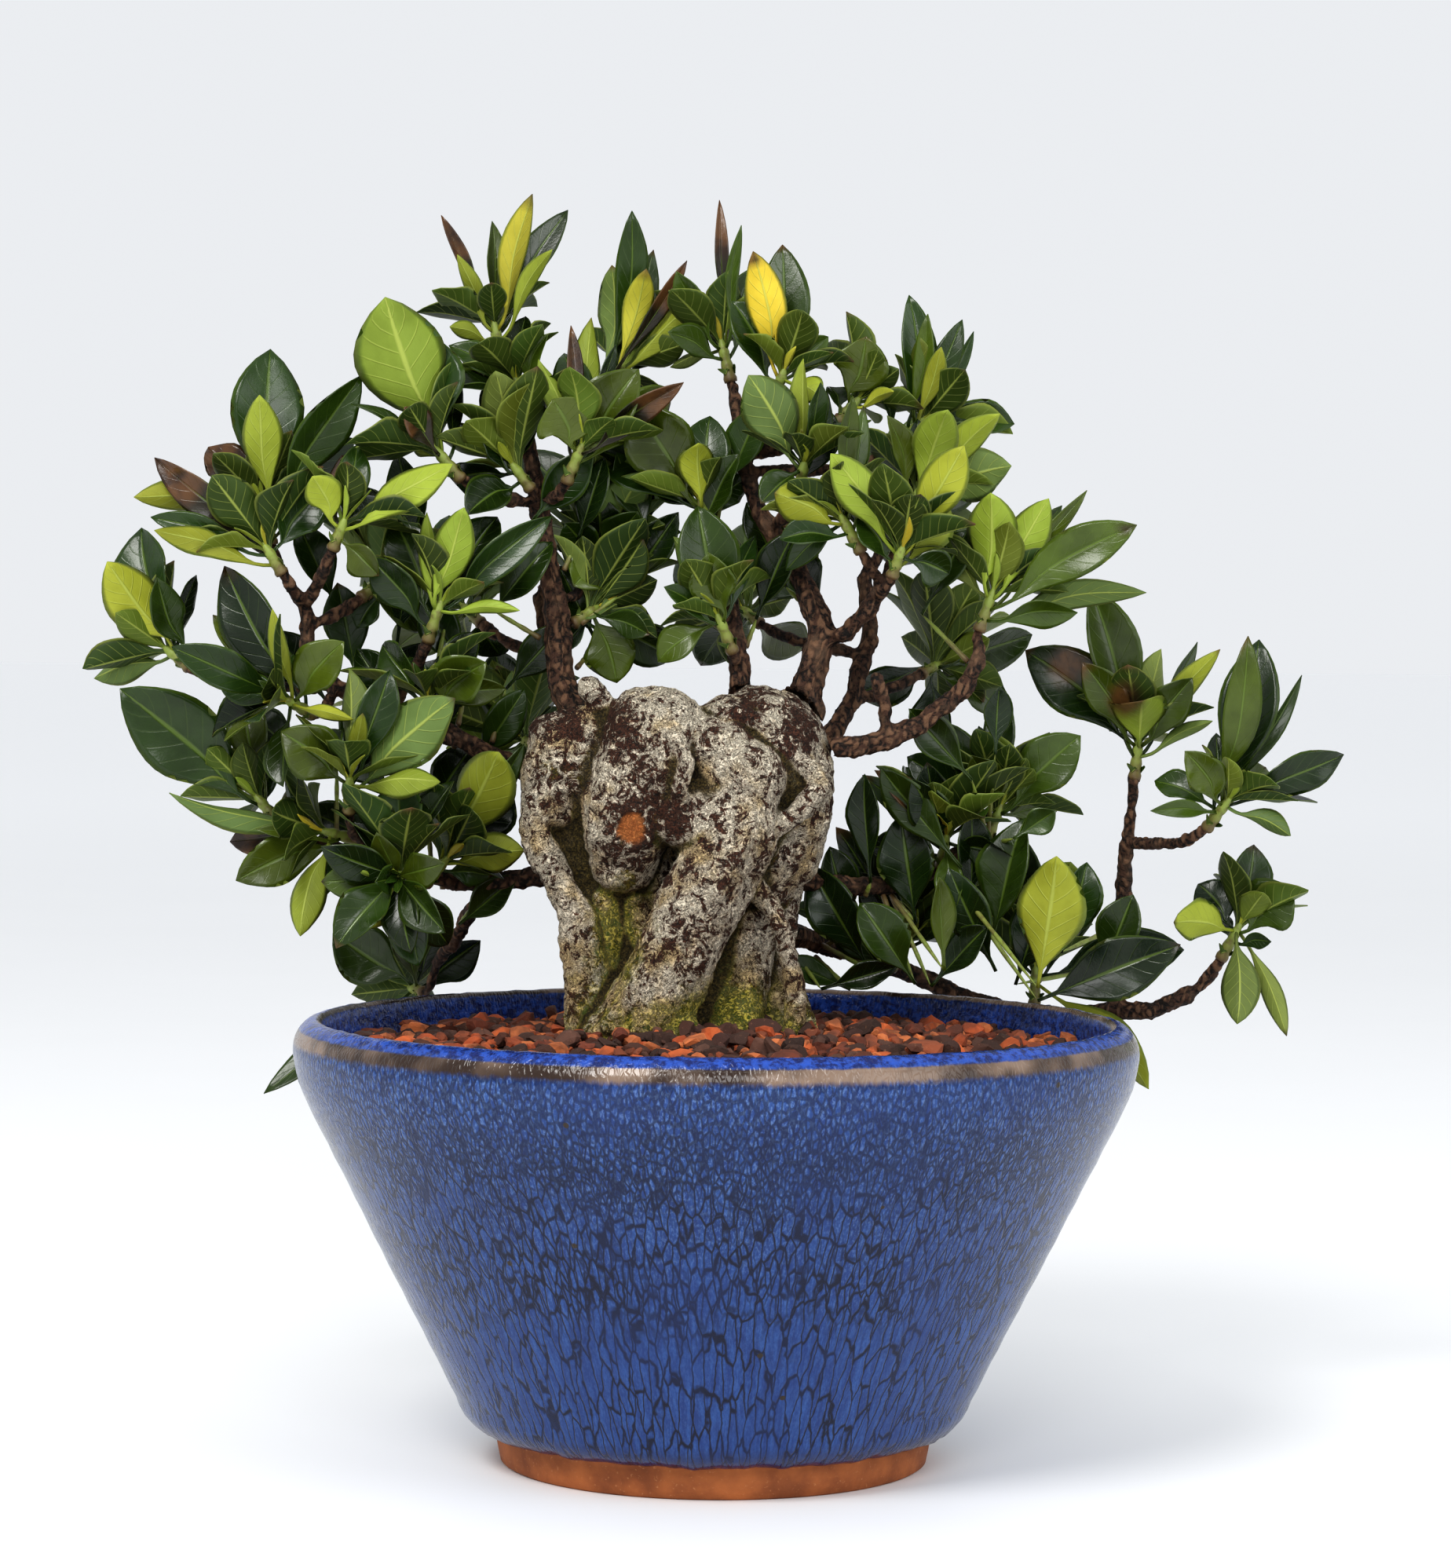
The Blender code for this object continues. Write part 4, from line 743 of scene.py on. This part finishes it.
# Colour of each leaf of a shoot, from its left to its right, as a place in ABOVE and BELOW. A dot is a leaf
# that fills in at the back, and takes the second colour
TONES = dict(
    far_left="5311..0", left_mid="120311..23", left_front="2..5.3135", big_leaf="12.1..",
    left_low="562213..", left_under="03031...10", rim_left="112..00", left_lower_inner="..113031",
    bud="113..3031", round_leaf="1...022", upper_left="363.1..01", upper_left_low="1630..1",
    cut_stub="3..6123", mid_left="10..021", big_light_leaf="13361..0.", spire_tip="63322...430",
    spire_mid="10210...2", spire_low="0001..", crown_left="321.6.30226", crown_top="...5141063",
    inner_left="12...0100", inner_low="1..2511", olive="1203.1..1", fork="21512...1", top="2526...21",
    yellow_leaf="14.1.32", crown_centre="51.3.10", notched="1..253", pair="3112...21", right_front="31.313",
    right_upper="2...0335", right_top="0..123111", right="5..3312225", dark_right="0221..3.52153",
    far_right="212..020510", cascade_end="301...51152", rim_right="10...3130", right_inner="1121..122",
    right_dense="1060..20", right_floor="100...111", back_left_low="121...12", back_left="121..12",
    back_top="12..211", back_mid="112..21", back_right="1.1.212", back_right_low="1...1221",
)
# Leaf colours above and below: very dark, dark, olive, light underside, yellow, pale, brown
ABOVE = ((0.009, 0.021, 0.003), (0.020, 0.043, 0.005), (0.060, 0.090, 0.009), (0.038, 0.074, 0.009),
         (0.17, 0.19, 0.014), (0.038, 0.068, 0.014), (0.024, 0.019, 0.010))
BELOW = ((0.034, 0.060, 0.009), (0.054, 0.088, 0.012), (0.11, 0.15, 0.018), (0.27, 0.32, 0.036),
         (0.52, 0.44, 0.045), (0.13, 0.18, 0.045), (0.050, 0.034, 0.018))
LEAF_VEIN = (0.11, 0.17, 0.025)
UNDERSIDE_VEIN = (0.40, 0.46, 0.10)
BURNT_BLACK = (0.030, 0.014, 0.008)
BURNT_BROWN = (0.12, 0.055, 0.02)
TWIG_BROWN = (0.12, 0.07, 0.03)
STEM_GREEN = (0.22, 0.28, 0.05)
STEM_SCAR = (0.10, 0.06, 0.025)
# Points along a leaf, and its places from one edge to the other
LEAF_STATIONS = 15
LEAF_SPANS = (-1.0, -0.78, -0.5, -0.22, 0.0, 0.22, 0.5, 0.78, 1.0)
# The CAD blades are narrower than the real leaves
LEAF_PLUMP = 1.25
STALK_THICKNESS = 0.5
BLADE_THICKNESS = 0.16
STEM_SIDES = 10
STEM_RINGS = 12
STEM_RADIUS = 1.9
STALK_RADIUS = 0.8
STEM_IN_TWIG = 2.5
LEAF_TURN = 2.4
# Shoots low in the tree, whose leaves stand up thickly in the shade
THICKETS = (
    "right_inner", "right_dense", "right_floor", "right_front", "rim_right", "left_lower_inner",
    "left_under", "inner_low", "inner_left", "back_right_low", "back_left_low", "spire_low", "mid_left",
)
# Brown marks on leaves: across, height and reach of each
BROWN_MARKS = dict(
    yellow_leaf=((9, 373, 3.4),), crown_left=((-24, 368, 5), (-11, 369, 5)), far_right=((163, 256, 4.5),),
    right=((128, 290, 3),), left_low=((-135, 224, 7),), dark_right=((130, 236, 7), (112, 247, 8)),
    big_light_leaf=((-141, 341, 4),), right_dense=((118, 243, 5),),
)
# Single leaves that fill the shade low down and in the middle of the crown: foot across and up, tip across
# and up, depth, width, tone
SHADE_LEAVES = dict(
    right_inner=(
        (47, 179, 44, 212, 46, 11, 0), (75, 184, 50, 214, 40, 13, 1), (61, 167, 56, 200, 50, 18, 0),
        (69, 190, 64, 216, 54, 13, 0), (78, 211, 58, 233, 34, 13, 1), (85, 219, 86, 240, 38, 10, 0),
        (41, 165, 34, 190, 56, 13, 0),
    ),
    right_floor=(
        (47, 152, 28, 184, 46, 16, 0), (61, 148, 44, 173, 34, 16, 1), (41, 146, 20, 155, 52, 9, 1),
        (32, 146, 55, 153, 44, 9, 0), (70, 152, 68, 181, 30, 10, 2), (52, 150, 38, 170, 60, 14, 1),
        (66, 147, 83, 166, 40, 12, 0),
    ),
    right_dense=(
        (86, 152, 71, 183, 40, 14, 0), (85, 163, 93, 200, 44, 18, 1), (106, 158, 114, 186, 38, 14, 1),
        (99, 143, 142, 160, 22, 19, 0), (78, 173, 78, 201, 52, 13, 0), (91, 193, 104, 202, 34, 9, 5),
        (92, 148, 101, 178, 54, 16, 0), (99, 147, 105, 188, 6, 21, 3),
    ),
    inner_left=(
        (-112, 240, -118, 270, 50, 14, 1), (-100, 250, -95, 282, 44, 14, 0),
        (-84, 262, -70, 290, 48, 13, 0),
        (-70, 262, -52, 284, 40, 12, 1), (-105, 228, -90, 252, 56, 13, 0), (-66, 238, -48, 258, 44, 12, 0),
        (-58, 290, -40, 312, 38, 13, 1),
    ),
    mid_left=(
        (-120, 232, -138, 255, 46, 14, 0), (-128, 215, -147, 232, 50, 13, 0),
        (-118, 262, -130, 288, 52, 13, 1),
        (-92, 282, -100, 310, 46, 13, 0), (-118, 215, -104, 238, 44, 13, 1),
    ),
    crown_centre=(
        (-30, 268, -14, 292, 46, 13, 0), (-38, 252, -50, 276, 52, 12, 0), (-10, 262, 2, 288, 44, 12, 1),
        (20, 270, 8, 296, 48, 13, 0), (50, 282, 38, 306, 44, 13, 0), (62, 262, 76, 288, 40, 12, 1),
        (-8, 284, 4, 311, 38, 13, 1), (4, 250, -7, 276, 50, 13, 0), (11, 260, 22, 288, 38, 13, 0),
        (-22, 285, -33, 311, 44, 13, 1), (32, 260, 21, 284, 50, 12, 0), (-44, 284, -36, 309, 42, 12, 0),
        (1, 300, 12, 326, 42, 13, 1), (24, 300, 33, 325, 44, 13, 0),
    ),
    inner_low=(
        (-95, 225, -112, 250, 40, 14, 0), (-85, 222, -80, 252, 44, 13, 0), (-75, 215, -60, 238, 40, 12, 1),
        (-90, 200, -75, 222, 48, 13, 0), (-78, 240, -92, 266, 46, 13, 1),
    ),
    left_lower_inner=(
        (-100, 205, -122, 225, 36, 13, 1), (-105, 190, -128, 200, 34, 12, 0),
        (-85, 185, -70, 205, 40, 12, 1), (-95, 172, -110, 190, 36, 12, 0), (-80, 165, -62, 180, 40, 11, 1),
    ),
    rim_right=((118, 150, 128, 176, 34, 14, 1),),
)


def welded(node):
    """The node's points in millimetres, each with its neighbours and how many triangles meet there."""
    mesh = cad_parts[node].data
    numbers, points, same = {}, [], []
    for vert in mesh.vertices:
        key = tuple(round(c / MM, 3) for c in vert.co)
        if key not in numbers:
            numbers[key] = len(points)
            points.append(vert.co / MM)
        same.append(numbers[key])
    near = [set() for _ in points]
    meeting = [0] * len(points)
    for face in mesh.polygons:
        corners = [same[k] for k in face.vertices]
        for corner in corners:
            meeting[corner] += 1
            near[corner].update(k for k in corners if k != corner)
    return points, near, meeting


def in_order(ring, near):
    """The four corners of a ring, one after the other."""
    first = min(ring)
    second = min(near[first] & ring)
    third = min((near[second] & ring) - {first}, default=None)
    rest = ring - {first, second, third}
    return [first, second, third, rest.pop()] if third is not None and rest else None


def section(corners):
    """Middle of a leaf's section, half its width, and the way its upper side faces."""
    a, b, c, d = corners
    if (a - c).length < (b - d).length:
        a, b, c, d = b, c, d, a
    middle = (b + d) / 2
    return middle, (a - c).length / 2, (a + c) / 2 - middle


def read_shoot(node):
    """The leaves of a shoot as (line of points, half width, upper side), then its bud, axis and length."""
    points, near, meeting = welded(node)
    leaves, best, bud = [], 9.0, None
    for k, point in enumerate(points):
        if meeting[k] == 6 and len(near[k]) == 6:
            middle = sum((points[n] for n in near[k]), Vector()) / 6
            out = [(points[n] - middle).length for n in near[k]]
            slope = [abs((points[n] - middle).dot((point - middle).normalized())) for n in near[k]]
            uneven = (max(out) - min(out) + max(slope)) / min(out) if (point - middle).length > 0.5 else 9.0
            if uneven < best:
                best, bud = uneven, k
        if meeting[k] != 4 or len(near[k]) != 4:
            continue
        pull = sum(((points[n] - point).normalized() for n in near[k]), Vector()) / meeting[k]
        if pull.length < 0.6:
            continue
        line, upper, half, seen, ring = [point], None, 0.0, {k}, set(near[k])
        while len(ring) == 4 and len(line) < 6:
            corners = in_order(ring, near)
            if corners is None:
                break
            middle, wide, lift = section([points[n] for n in corners])
            line.append(middle)
            if wide > 1.2:
                half = max(half, wide)
                upper = lift.normalized() if upper is None else (upper + lift.normalized())
            elif len(line) > 3 or wide > 0.2:
                seen |= ring
                feet = set().union(*(near[n] for n in ring)) - seen
                line.append(sum((points[n] for n in feet), Vector()) / max(1, len(feet)))
                break
            seen |= ring
            ring = set().union(*(near[n] for n in ring)) - seen
        if upper is not None:
            leaves.append((line[::-1], half, upper.normalized()))
    tip = points[bud]
    ring_middle = sum((points[n] for n in near[bud]), Vector()) / 6
    axis = (tip - ring_middle).normalized()
    close = [(p - tip).dot(axis) for p in points if ((p - tip) - axis * (p - tip).dot(axis)).length < 2.4]
    leaves.sort(key=lambda leaf: leaf[0][-1].x)
    return leaves, tip, axis, -min(close)


def smooth_line(points, count):
    """Evenly spread points on a smooth curve through the given ones."""
    fine = []
    ends = [points[0] * 2 - points[1], *points, points[-1] * 2 - points[-2]]
    for a, b, c, d in zip(ends, ends[1:], ends[2:], ends[3:]):
        for k in range(8):
            t = k / 8
            fine.append(0.5 * (2 * b + (c - a) * t + (2 * a - 5 * b + 4 * c - d) * t**2
                               + (3 * b - a - 3 * c + d) * t**3))
    fine.append(points[-1])
    lengths = [0.0]
    for a, b in zip(fine, fine[1:]):
        lengths.append(lengths[-1] + (b - a).length)
    line, k = [], 0
    for i in range(count):
        goal = lengths[-1] * i / (count - 1)
        while k < len(lengths) - 2 and lengths[k + 1] < goal:
            k += 1
        line.append(fine[k].lerp(fine[k + 1], (goal - lengths[k]) / max(1e-6, lengths[k + 1] - lengths[k])))
    return line, lengths[-1]


class Foliage:
    """Points, faces and colours of one shoot while its leaves are added."""

    def __init__(self, name):
        self.name = name
        self.rng = random.Random(name)
        self.points, self.faces, self.finish = [], [], []
        self.colours, self.places, self.burnt = [], [], []
        self.marks = BROWN_MARKS.get(name.removeprefix("shoot_"), ())

    def add(self, point, colour, across=0.0, along=0.0, burn=0.0):
        self.points.append(point)
        self.colours.append((*colour, 1))
        self.places.append((across, along, 0))
        self.burnt.append(burn)
        return len(self.points) - 1

    def face(self, corners, finish):
        self.faces.append(corners)
        self.finish.append(finish)

    def varied(self, colour, amount=0.26):
        light = 1 + self.rng.uniform(-amount, amount)
        warm = 1 + self.rng.uniform(-amount, amount) / 2
        return colour[0] * light * warm, colour[1] * light, colour[2] * light / warm

    def leaf(self, line, half, upper, tone, plump=1.0, young=False):
        rng = self.rng
        stations, length = smooth_line(line, LEAF_STATIONS)
        above, below = self.varied(ABOVE[tone]), self.varied(BELOW[tone])
        fullest = rng.uniform(1.0, 1.4)
        stalk = 0.06 if young else rng.uniform(0.09, 0.13)
        # how far its edges rise, its tip bends back, and how it turns and waves
        cup = rng.uniform(0.12, 0.62)
        curl = rng.uniform(-0.03, 0.09) * length
        twist = rng.uniform(-0.3, 0.3)
        ripple, phase, waves = rng.uniform(0.03, 0.16), rng.uniform(0, 6.3), rng.uniform(1.2, 2.6)
        burn_from = {6: 0.6, 4: 0.9}.get(tone, 2.0 if rng.random() < 0.82 else rng.uniform(0.9, 0.97))
        half *= plump
        tops, unders = [], []
        for i, middle in enumerate(stations):
            along = i / (LEAF_STATIONS - 1)
            ahead = (stations[min(i + 1, LEAF_STATIONS - 1)] - stations[max(i - 1, 0)]).normalized()
            up = (upper - ahead * upper.dot(ahead)).normalized()
            up = Matrix.Rotation(twist * (along - 0.3), 3, ahead) @ up
            side = ahead.cross(up)
            share = max(0.0, (along - stalk) / (1 - stalk))
            blade = math.sin(math.pi * share**fullest) ** (1.2 - 0.42 * share) if 0 < share < 1 else 0.0
            wide = max(half * blade, 0.62 if along < 0.5 else 0.12)
            thick = STALK_THICKNESS - (STALK_THICKNESS - BLADE_THICKNESS) * min(1.0, share / 0.12)
            middle = middle - up * curl * max(0.0, (along - 0.55) / 0.45) ** 2
            top_row, under_row = [], []
            for across in LEAF_SPANS:
                turned = waves * 6.28 * along + phase + (1.5 if across > 0 else 0)
                wave = ripple * math.sin(turned) * across**2
                rise = wide * (cup * abs(across) ** 1.4 + wave)
                spread = wide * across * (1 - 0.12 * cup * abs(across))
                point = middle + side * spread + up * rise
                rim = 1 - abs(across) ** 6
                rib = 0.34 * max(0.0, 1 - abs(across) * 4) * (1 - 0.6 * along)
                burn = max(0.0, min(1.0, (along - burn_from) / 0.05))
                if young:
                    burn = 0.0
                for spot_x, spot_z, size in self.marks:
                    off = math.hypot(point.x - spot_x, point.z - spot_z)
                    burn = max(burn, min(1.0, 2 - 2 * off / size))
                spot = (across, along, burn)
                groove = 0.12 * max(0.0, 1 - abs(across) * 5)
                top = self.add(point + up * (thick * rim - groove), above, *spot)
                top_row.append(top)
                if abs(across) == 1.0:
                    under_row.append(top)
                else:
                    under_row.append(self.add(point - up * (thick * rim + rib), below, *spot))
            tops.append(top_row)
            unders.append(under_row)
        for rows, finish in ((tops, 0), (unders, 1)):
            for low, high in zip(rows, rows[1:]):
                for k in range(len(LEAF_SPANS) - 1):
                    corners = (low[k], low[k + 1], high[k + 1], high[k])
                    self.face(corners if finish == 0 else corners[::-1], finish)
        for top_row, under_row, order in ((tops[0], unders[0], 1), (tops[-1], unders[-1], -1)):
            for k in range(len(LEAF_SPANS) - 1):
                corners = dict.fromkeys((top_row[k + 1], top_row[k], under_row[k], under_row[k + 1]))
                self.face(tuple(corners)[::order], 1)

    def stem(self, foot, axis, length, radius):
        """The green end of the twig, ringed by leaf scars, with a pointed bud on top."""
        rows = []
        normal = axis.orthogonal().normalized()
        across = axis.cross(normal)
        for ring in range(STEM_RINGS + 1):
            share = ring / STEM_RINGS
            wide = radius * (1.1 - 0.35 * share) * (1 + 0.12 * math.sin(share * 22))
            if share > 0.8:
                wide *= 1 - (share - 0.8) / 0.22
            green = min(1.0, share * 1.6)
            colour = [a + (b - a) * green for a, b in zip(TWIG_BROWN, STEM_GREEN)]
            centre = foot + axis * length * share
            row = []
            for k in range(STEM_SIDES):
                angle = 2 * math.pi * k / STEM_SIDES
                way = normal * math.cos(angle) + across * math.sin(angle)
                row.append(self.add(centre + way * wide, colour))
            rows.append(row)
        for low, high in zip(rows, rows[1:]):
            for corners in band(low[0], high[0], STEM_SIDES):
                self.face(corners, 2)
        self.face(tuple(reversed(rows[0])), 2)
        self.face(tuple(rows[-1]), 2)

    def spray(self, foot, axis, count, low, high, spread, tones, width, plump=1.0, young=False):
        """Leaves thrown out round the axis."""
        normal = axis.orthogonal().normalized()
        turn = self.rng.uniform(0, 6.3)
        for k in range(count):
            way = Matrix.Rotation(turn + LEAF_TURN * k, 3, axis) @ normal
            lean = spread * self.rng.uniform(0.75, 1.25)
            length = self.rng.uniform(low, high)
            out = (axis * math.cos(lean) + way * math.sin(lean)).normalized()
            bend = axis * 0.12 * length
            line = [foot, foot + (axis * 0.5 + out * 0.5) * length * 0.2,
                    foot + out * length * 0.6 + bend * 0.6, foot + out * length + bend * 0.2]
            upper = (axis - out * axis.dot(out)).normalized()
            self.leaf(line, length * width / 2, upper, self.rng.choice(tones), plump, young)

    def standing(self, foot, tip, width, tone):
        """A leaf on a thin stalk from the nearest limb."""
        below = foot - Vector((0, 0, 9))
        root = min((tree.find_nearest(below) for tree in limb_trees), key=lambda hit: hit[3])[0]
        gap = (foot - root).length
        if gap > 2:
            self.stem(root, (foot - root).normalized(), gap, STALK_RADIUS)
        length = (tip - foot).length
        bow = Vector((0, self.rng.uniform(-0.12, 0.12), 0)) * length
        line = [foot, foot.lerp(tip, 0.35) + bow * 0.8, foot.lerp(tip, 0.7) + bow, tip]
        facing = 1 if tone in (3, 4) else -1
        upper = Vector((self.rng.uniform(-0.6, 0.6), facing, self.rng.uniform(0.0, 0.4)))
        self.leaf(line, width / 2, upper, tone, 1.1)

    def grown(self):
        obj = piece(self.name.replace("shoot", "leaves"), self.points, self.faces,
                    [leaf_above, leaf_below, green_stem], [self.name])
        obj.data.polygons.foreach_set("material_index", self.finish)
        paint(obj, leaf_colour=self.colours, leaf_place=self.places, burnt=self.burnt)


def make_leaf_skin(name, roughness, shine, vein_colour, vein_share, side_share, vein_height, mottle):
    skin = Finish(name, roughness, Specular_IOR_Level=shine)
    where = skin.node("SeparateXYZ", {0: skin.read("leaf_place", "Vector")})
    across = skin.maths("ABSOLUTE", where.outputs[0])
    along = where.outputs[1]
    midrib = skin.step(across, 0.02, 0.085, 1.0, 0.0)
    slant = skin.scaled(across, -0.2, along)
    slant = skin.scaled(skin.noise(30.0, 1.0), 0.05, slant)
    side = skin.maths("PINGPONG", skin.scaled(slant, 9.0), 0.5)
    side = skin.step(side, 0.015, 0.07, 1.0, 0.0)
    side = skin.scaled(side, skin.step(across, 0.6, 0.95, 1.0, 0.1))
    side = skin.scaled(side, skin.step(along, 0.9, 1.0, 1.0, 0.0))
    veins = skin.maths("MAXIMUM", midrib, skin.scaled(side, side_share))
    patch = skin.noise(75.0, 3.0, 0.6)
    fine = skin.noise(1500.0, 2.0, 0.5)
    base = skin.read("leaf_colour", "Color")
    deep = skin.node("HueSaturation", {"Value": 0.42, "Saturation": 1.1, "Color": base}).outputs[0]
    base = skin.over(base, deep, patch, 0.35, 0.7, 0.0, mottle)
    base = skin.over(base, vein_colour, across, 0.86, 0.99, 0.0, 0.45)
    base = skin.mix(skin.scaled(veins, vein_share), base, vein_colour)
    brown = skin.over(BURNT_BLACK, BURNT_BROWN, patch, 0.4, 0.6)
    base = skin.mix(skin.scaled(skin.read("burnt"), 0.9), base, brown)
    skin.colour(base)
    relief = skin.scaled(veins, vein_height, skin.scaled(fine, 0.12))
    relief = skin.scaled(patch, 0.7, relief)
    skin.bump(relief, 0.6, 0.45)
    return skin.material


def make_stem_skin():
    skin = Finish("green_stem", 0.5)
    streak = skin.noise(500.0, 3.0)
    skin.colour(skin.over(skin.read("leaf_colour", "Color"), STEM_SCAR, streak, 0.45, 0.7, 0.0, 0.6))
    skin.bump(streak, 0.5, 0.3)
    return skin.material


leaf_above = make_leaf_skin("leaf_upper_side", 0.23, 0.38, LEAF_VEIN, 0.6, 0.16, -0.8, 0.6)
leaf_below = make_leaf_skin("leaf_underside", 0.5, 0.25, UNDERSIDE_VEIN, 0.6, 0.5, 0.9, 0.3)
green_stem = make_stem_skin()

limb_trees = []
for limb_name in LIMB_NAMES:
    limb_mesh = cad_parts[limb_name].data
    corners = [vert.co / MM for vert in limb_mesh.vertices]
    limb_trees.append(BVHTree.FromPolygons(corners, [tuple(face.vertices) for face in limb_mesh.polygons]))


def make_shoot(name):
    """The CAD shoot's own leaves, a tuft of young ones, and those that fill in behind and below."""
    short = name.removeprefix("shoot_")
    leaves, bud, axis, length = read_shoot(name)
    tones = TONES[short].replace(".", "1")
    shoot = Foliage(name)
    for (line, half, upper), tone in zip(leaves, tones):
        shoot.leaf(line, half, upper, int(tone), LEAF_PLUMP)
    foot = bud - axis * (length + STEM_IN_TWIG)
    shoot.stem(foot, axis, length + STEM_IN_TWIG, STEM_RADIUS)
    shoot.spray(bud - axis * 3, axis, 3, 9, 15, 0.35, (3, 3, 4), 0.28, young=True)
    back = (axis + Vector((0, 0.5, 0))).normalized()
    shoot.spray(bud - axis * 4.5, back, 7, 19, 32, 0.95, (1, 1, 2, 0, 0), 0.46, 1.1)
    if short in THICKETS:
        rising = (axis * 0.3 + Vector((0, 0.25, 1))).normalized()
        shoot.spray(bud - axis * 5, rising, 9, 24, 38, 0.75, (0, 0, 1, 1, 5), 0.44, 1.1)
    for foot_x, foot_z, tip_x, tip_z, depth, width, tone in SHADE_LEAVES.get(short, ()):
        shoot.standing(widened(foot_x, depth, foot_z), widened(tip_x, depth - 4, tip_z), width, tone)
    shoot.grown()


for node_name in [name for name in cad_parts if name.startswith("shoot_")]:
    make_shoot(node_name)


# ------------------------------------------------------------------ setting
# A pale floor under soft studio light, painted whiter far off where a lit backdrop would be, and a camera
# level with the crown, a little above the rim.

FLOOR_REACH = 60.0
FLOOR_GREY = (0.86, 0.865, 0.87)
FLOOR_PALE = (0.89, 0.895, 0.90)
FLOOR_PAINTED_FAR_LIGHT = (0.985, 0.99, 0.995)
SKY = (0.95, 0.97, 1.0, 1)
SKY_STRENGTH = 0.74
LAMPS_AIM = Vector((0, 0, 0.2))
CAMERA_PLACE = (0.002, -1.3, 0.25)
LENS = 96.8
PITCH = math.radians(1.8)
ROLL = math.radians(0.5)

floor = bpy.data.meshes.new("floor")
corners = [(x * FLOOR_REACH, y * FLOOR_REACH, 0) for x, y in ((-1, -1), (1, -1), (1, 1), (-1, 1))]
floor.from_pydata(corners, [], [(0, 1, 2, 3)])
paper = Finish("pale_floor", 0.6)
distance = paper.node("VectorMath", {0: paper.place()}, operation="LENGTH").outputs["Value"]
near_tone = paper.mix(paper.noise(3.0, 4.0, 0.6), FLOOR_GREY, FLOOR_PALE)
# painted light: the floor turns white with distance, standing in for the lit studio backdrop
paper.colour(paper.over(near_tone, FLOOR_PAINTED_FAR_LIGHT, distance, 1.0, 6.0))
floor.materials.append(paper.material)
floor_object = bpy.data.objects.new("floor", floor)
bpy.context.collection.objects.link(floor_object)

world = bpy.data.worlds.new("studio")
bpy.context.scene.world = world
world.use_nodes = True
world.node_tree.nodes["Background"].inputs["Color"].default_value = SKY
world.node_tree.nodes["Background"].inputs["Strength"].default_value = SKY_STRENGTH


def make_lamp(name, place, size, power, colour):
    lamp = bpy.data.lights.new(name, "AREA")
    lamp.shape = "DISK"
    lamp.size = size
    lamp.energy = power
    lamp.color = colour
    obj = bpy.data.objects.new(name, lamp)
    bpy.context.collection.objects.link(obj)
    obj.location = place
    obj.rotation_euler = (LAMPS_AIM - Vector(place)).to_track_quat("-Z", "Y").to_euler()


make_lamp("key_lamp", (-0.9, -1.5, 1.9), 0.9, 30, (1.0, 0.985, 0.96))
make_lamp("fill_lamp", (1.6, -1.0, 1.0), 1.4, 9, (0.96, 0.98, 1.0))
make_lamp("front_lamp", (0.15, -2.2, 1.5), 1.0, 14, (1.0, 1.0, 1.0))

eye = bpy.data.cameras.new("camera")
eye.lens = LENS
eye.sensor_width = 36
eye.clip_start = 0.05
camera = bpy.data.objects.new("camera", eye)
bpy.context.collection.objects.link(camera)
tilt = Matrix.Rotation(math.pi / 2 - PITCH, 4, "X") @ Matrix.Rotation(ROLL, 4, "Z")
camera.matrix_world = Matrix.Translation(CAMERA_PLACE) @ tilt
bpy.context.scene.camera = camera
bpy.context.scene.view_settings.view_transform = "Standard"
bpy.context.scene.view_settings.look = "Medium High Contrast"
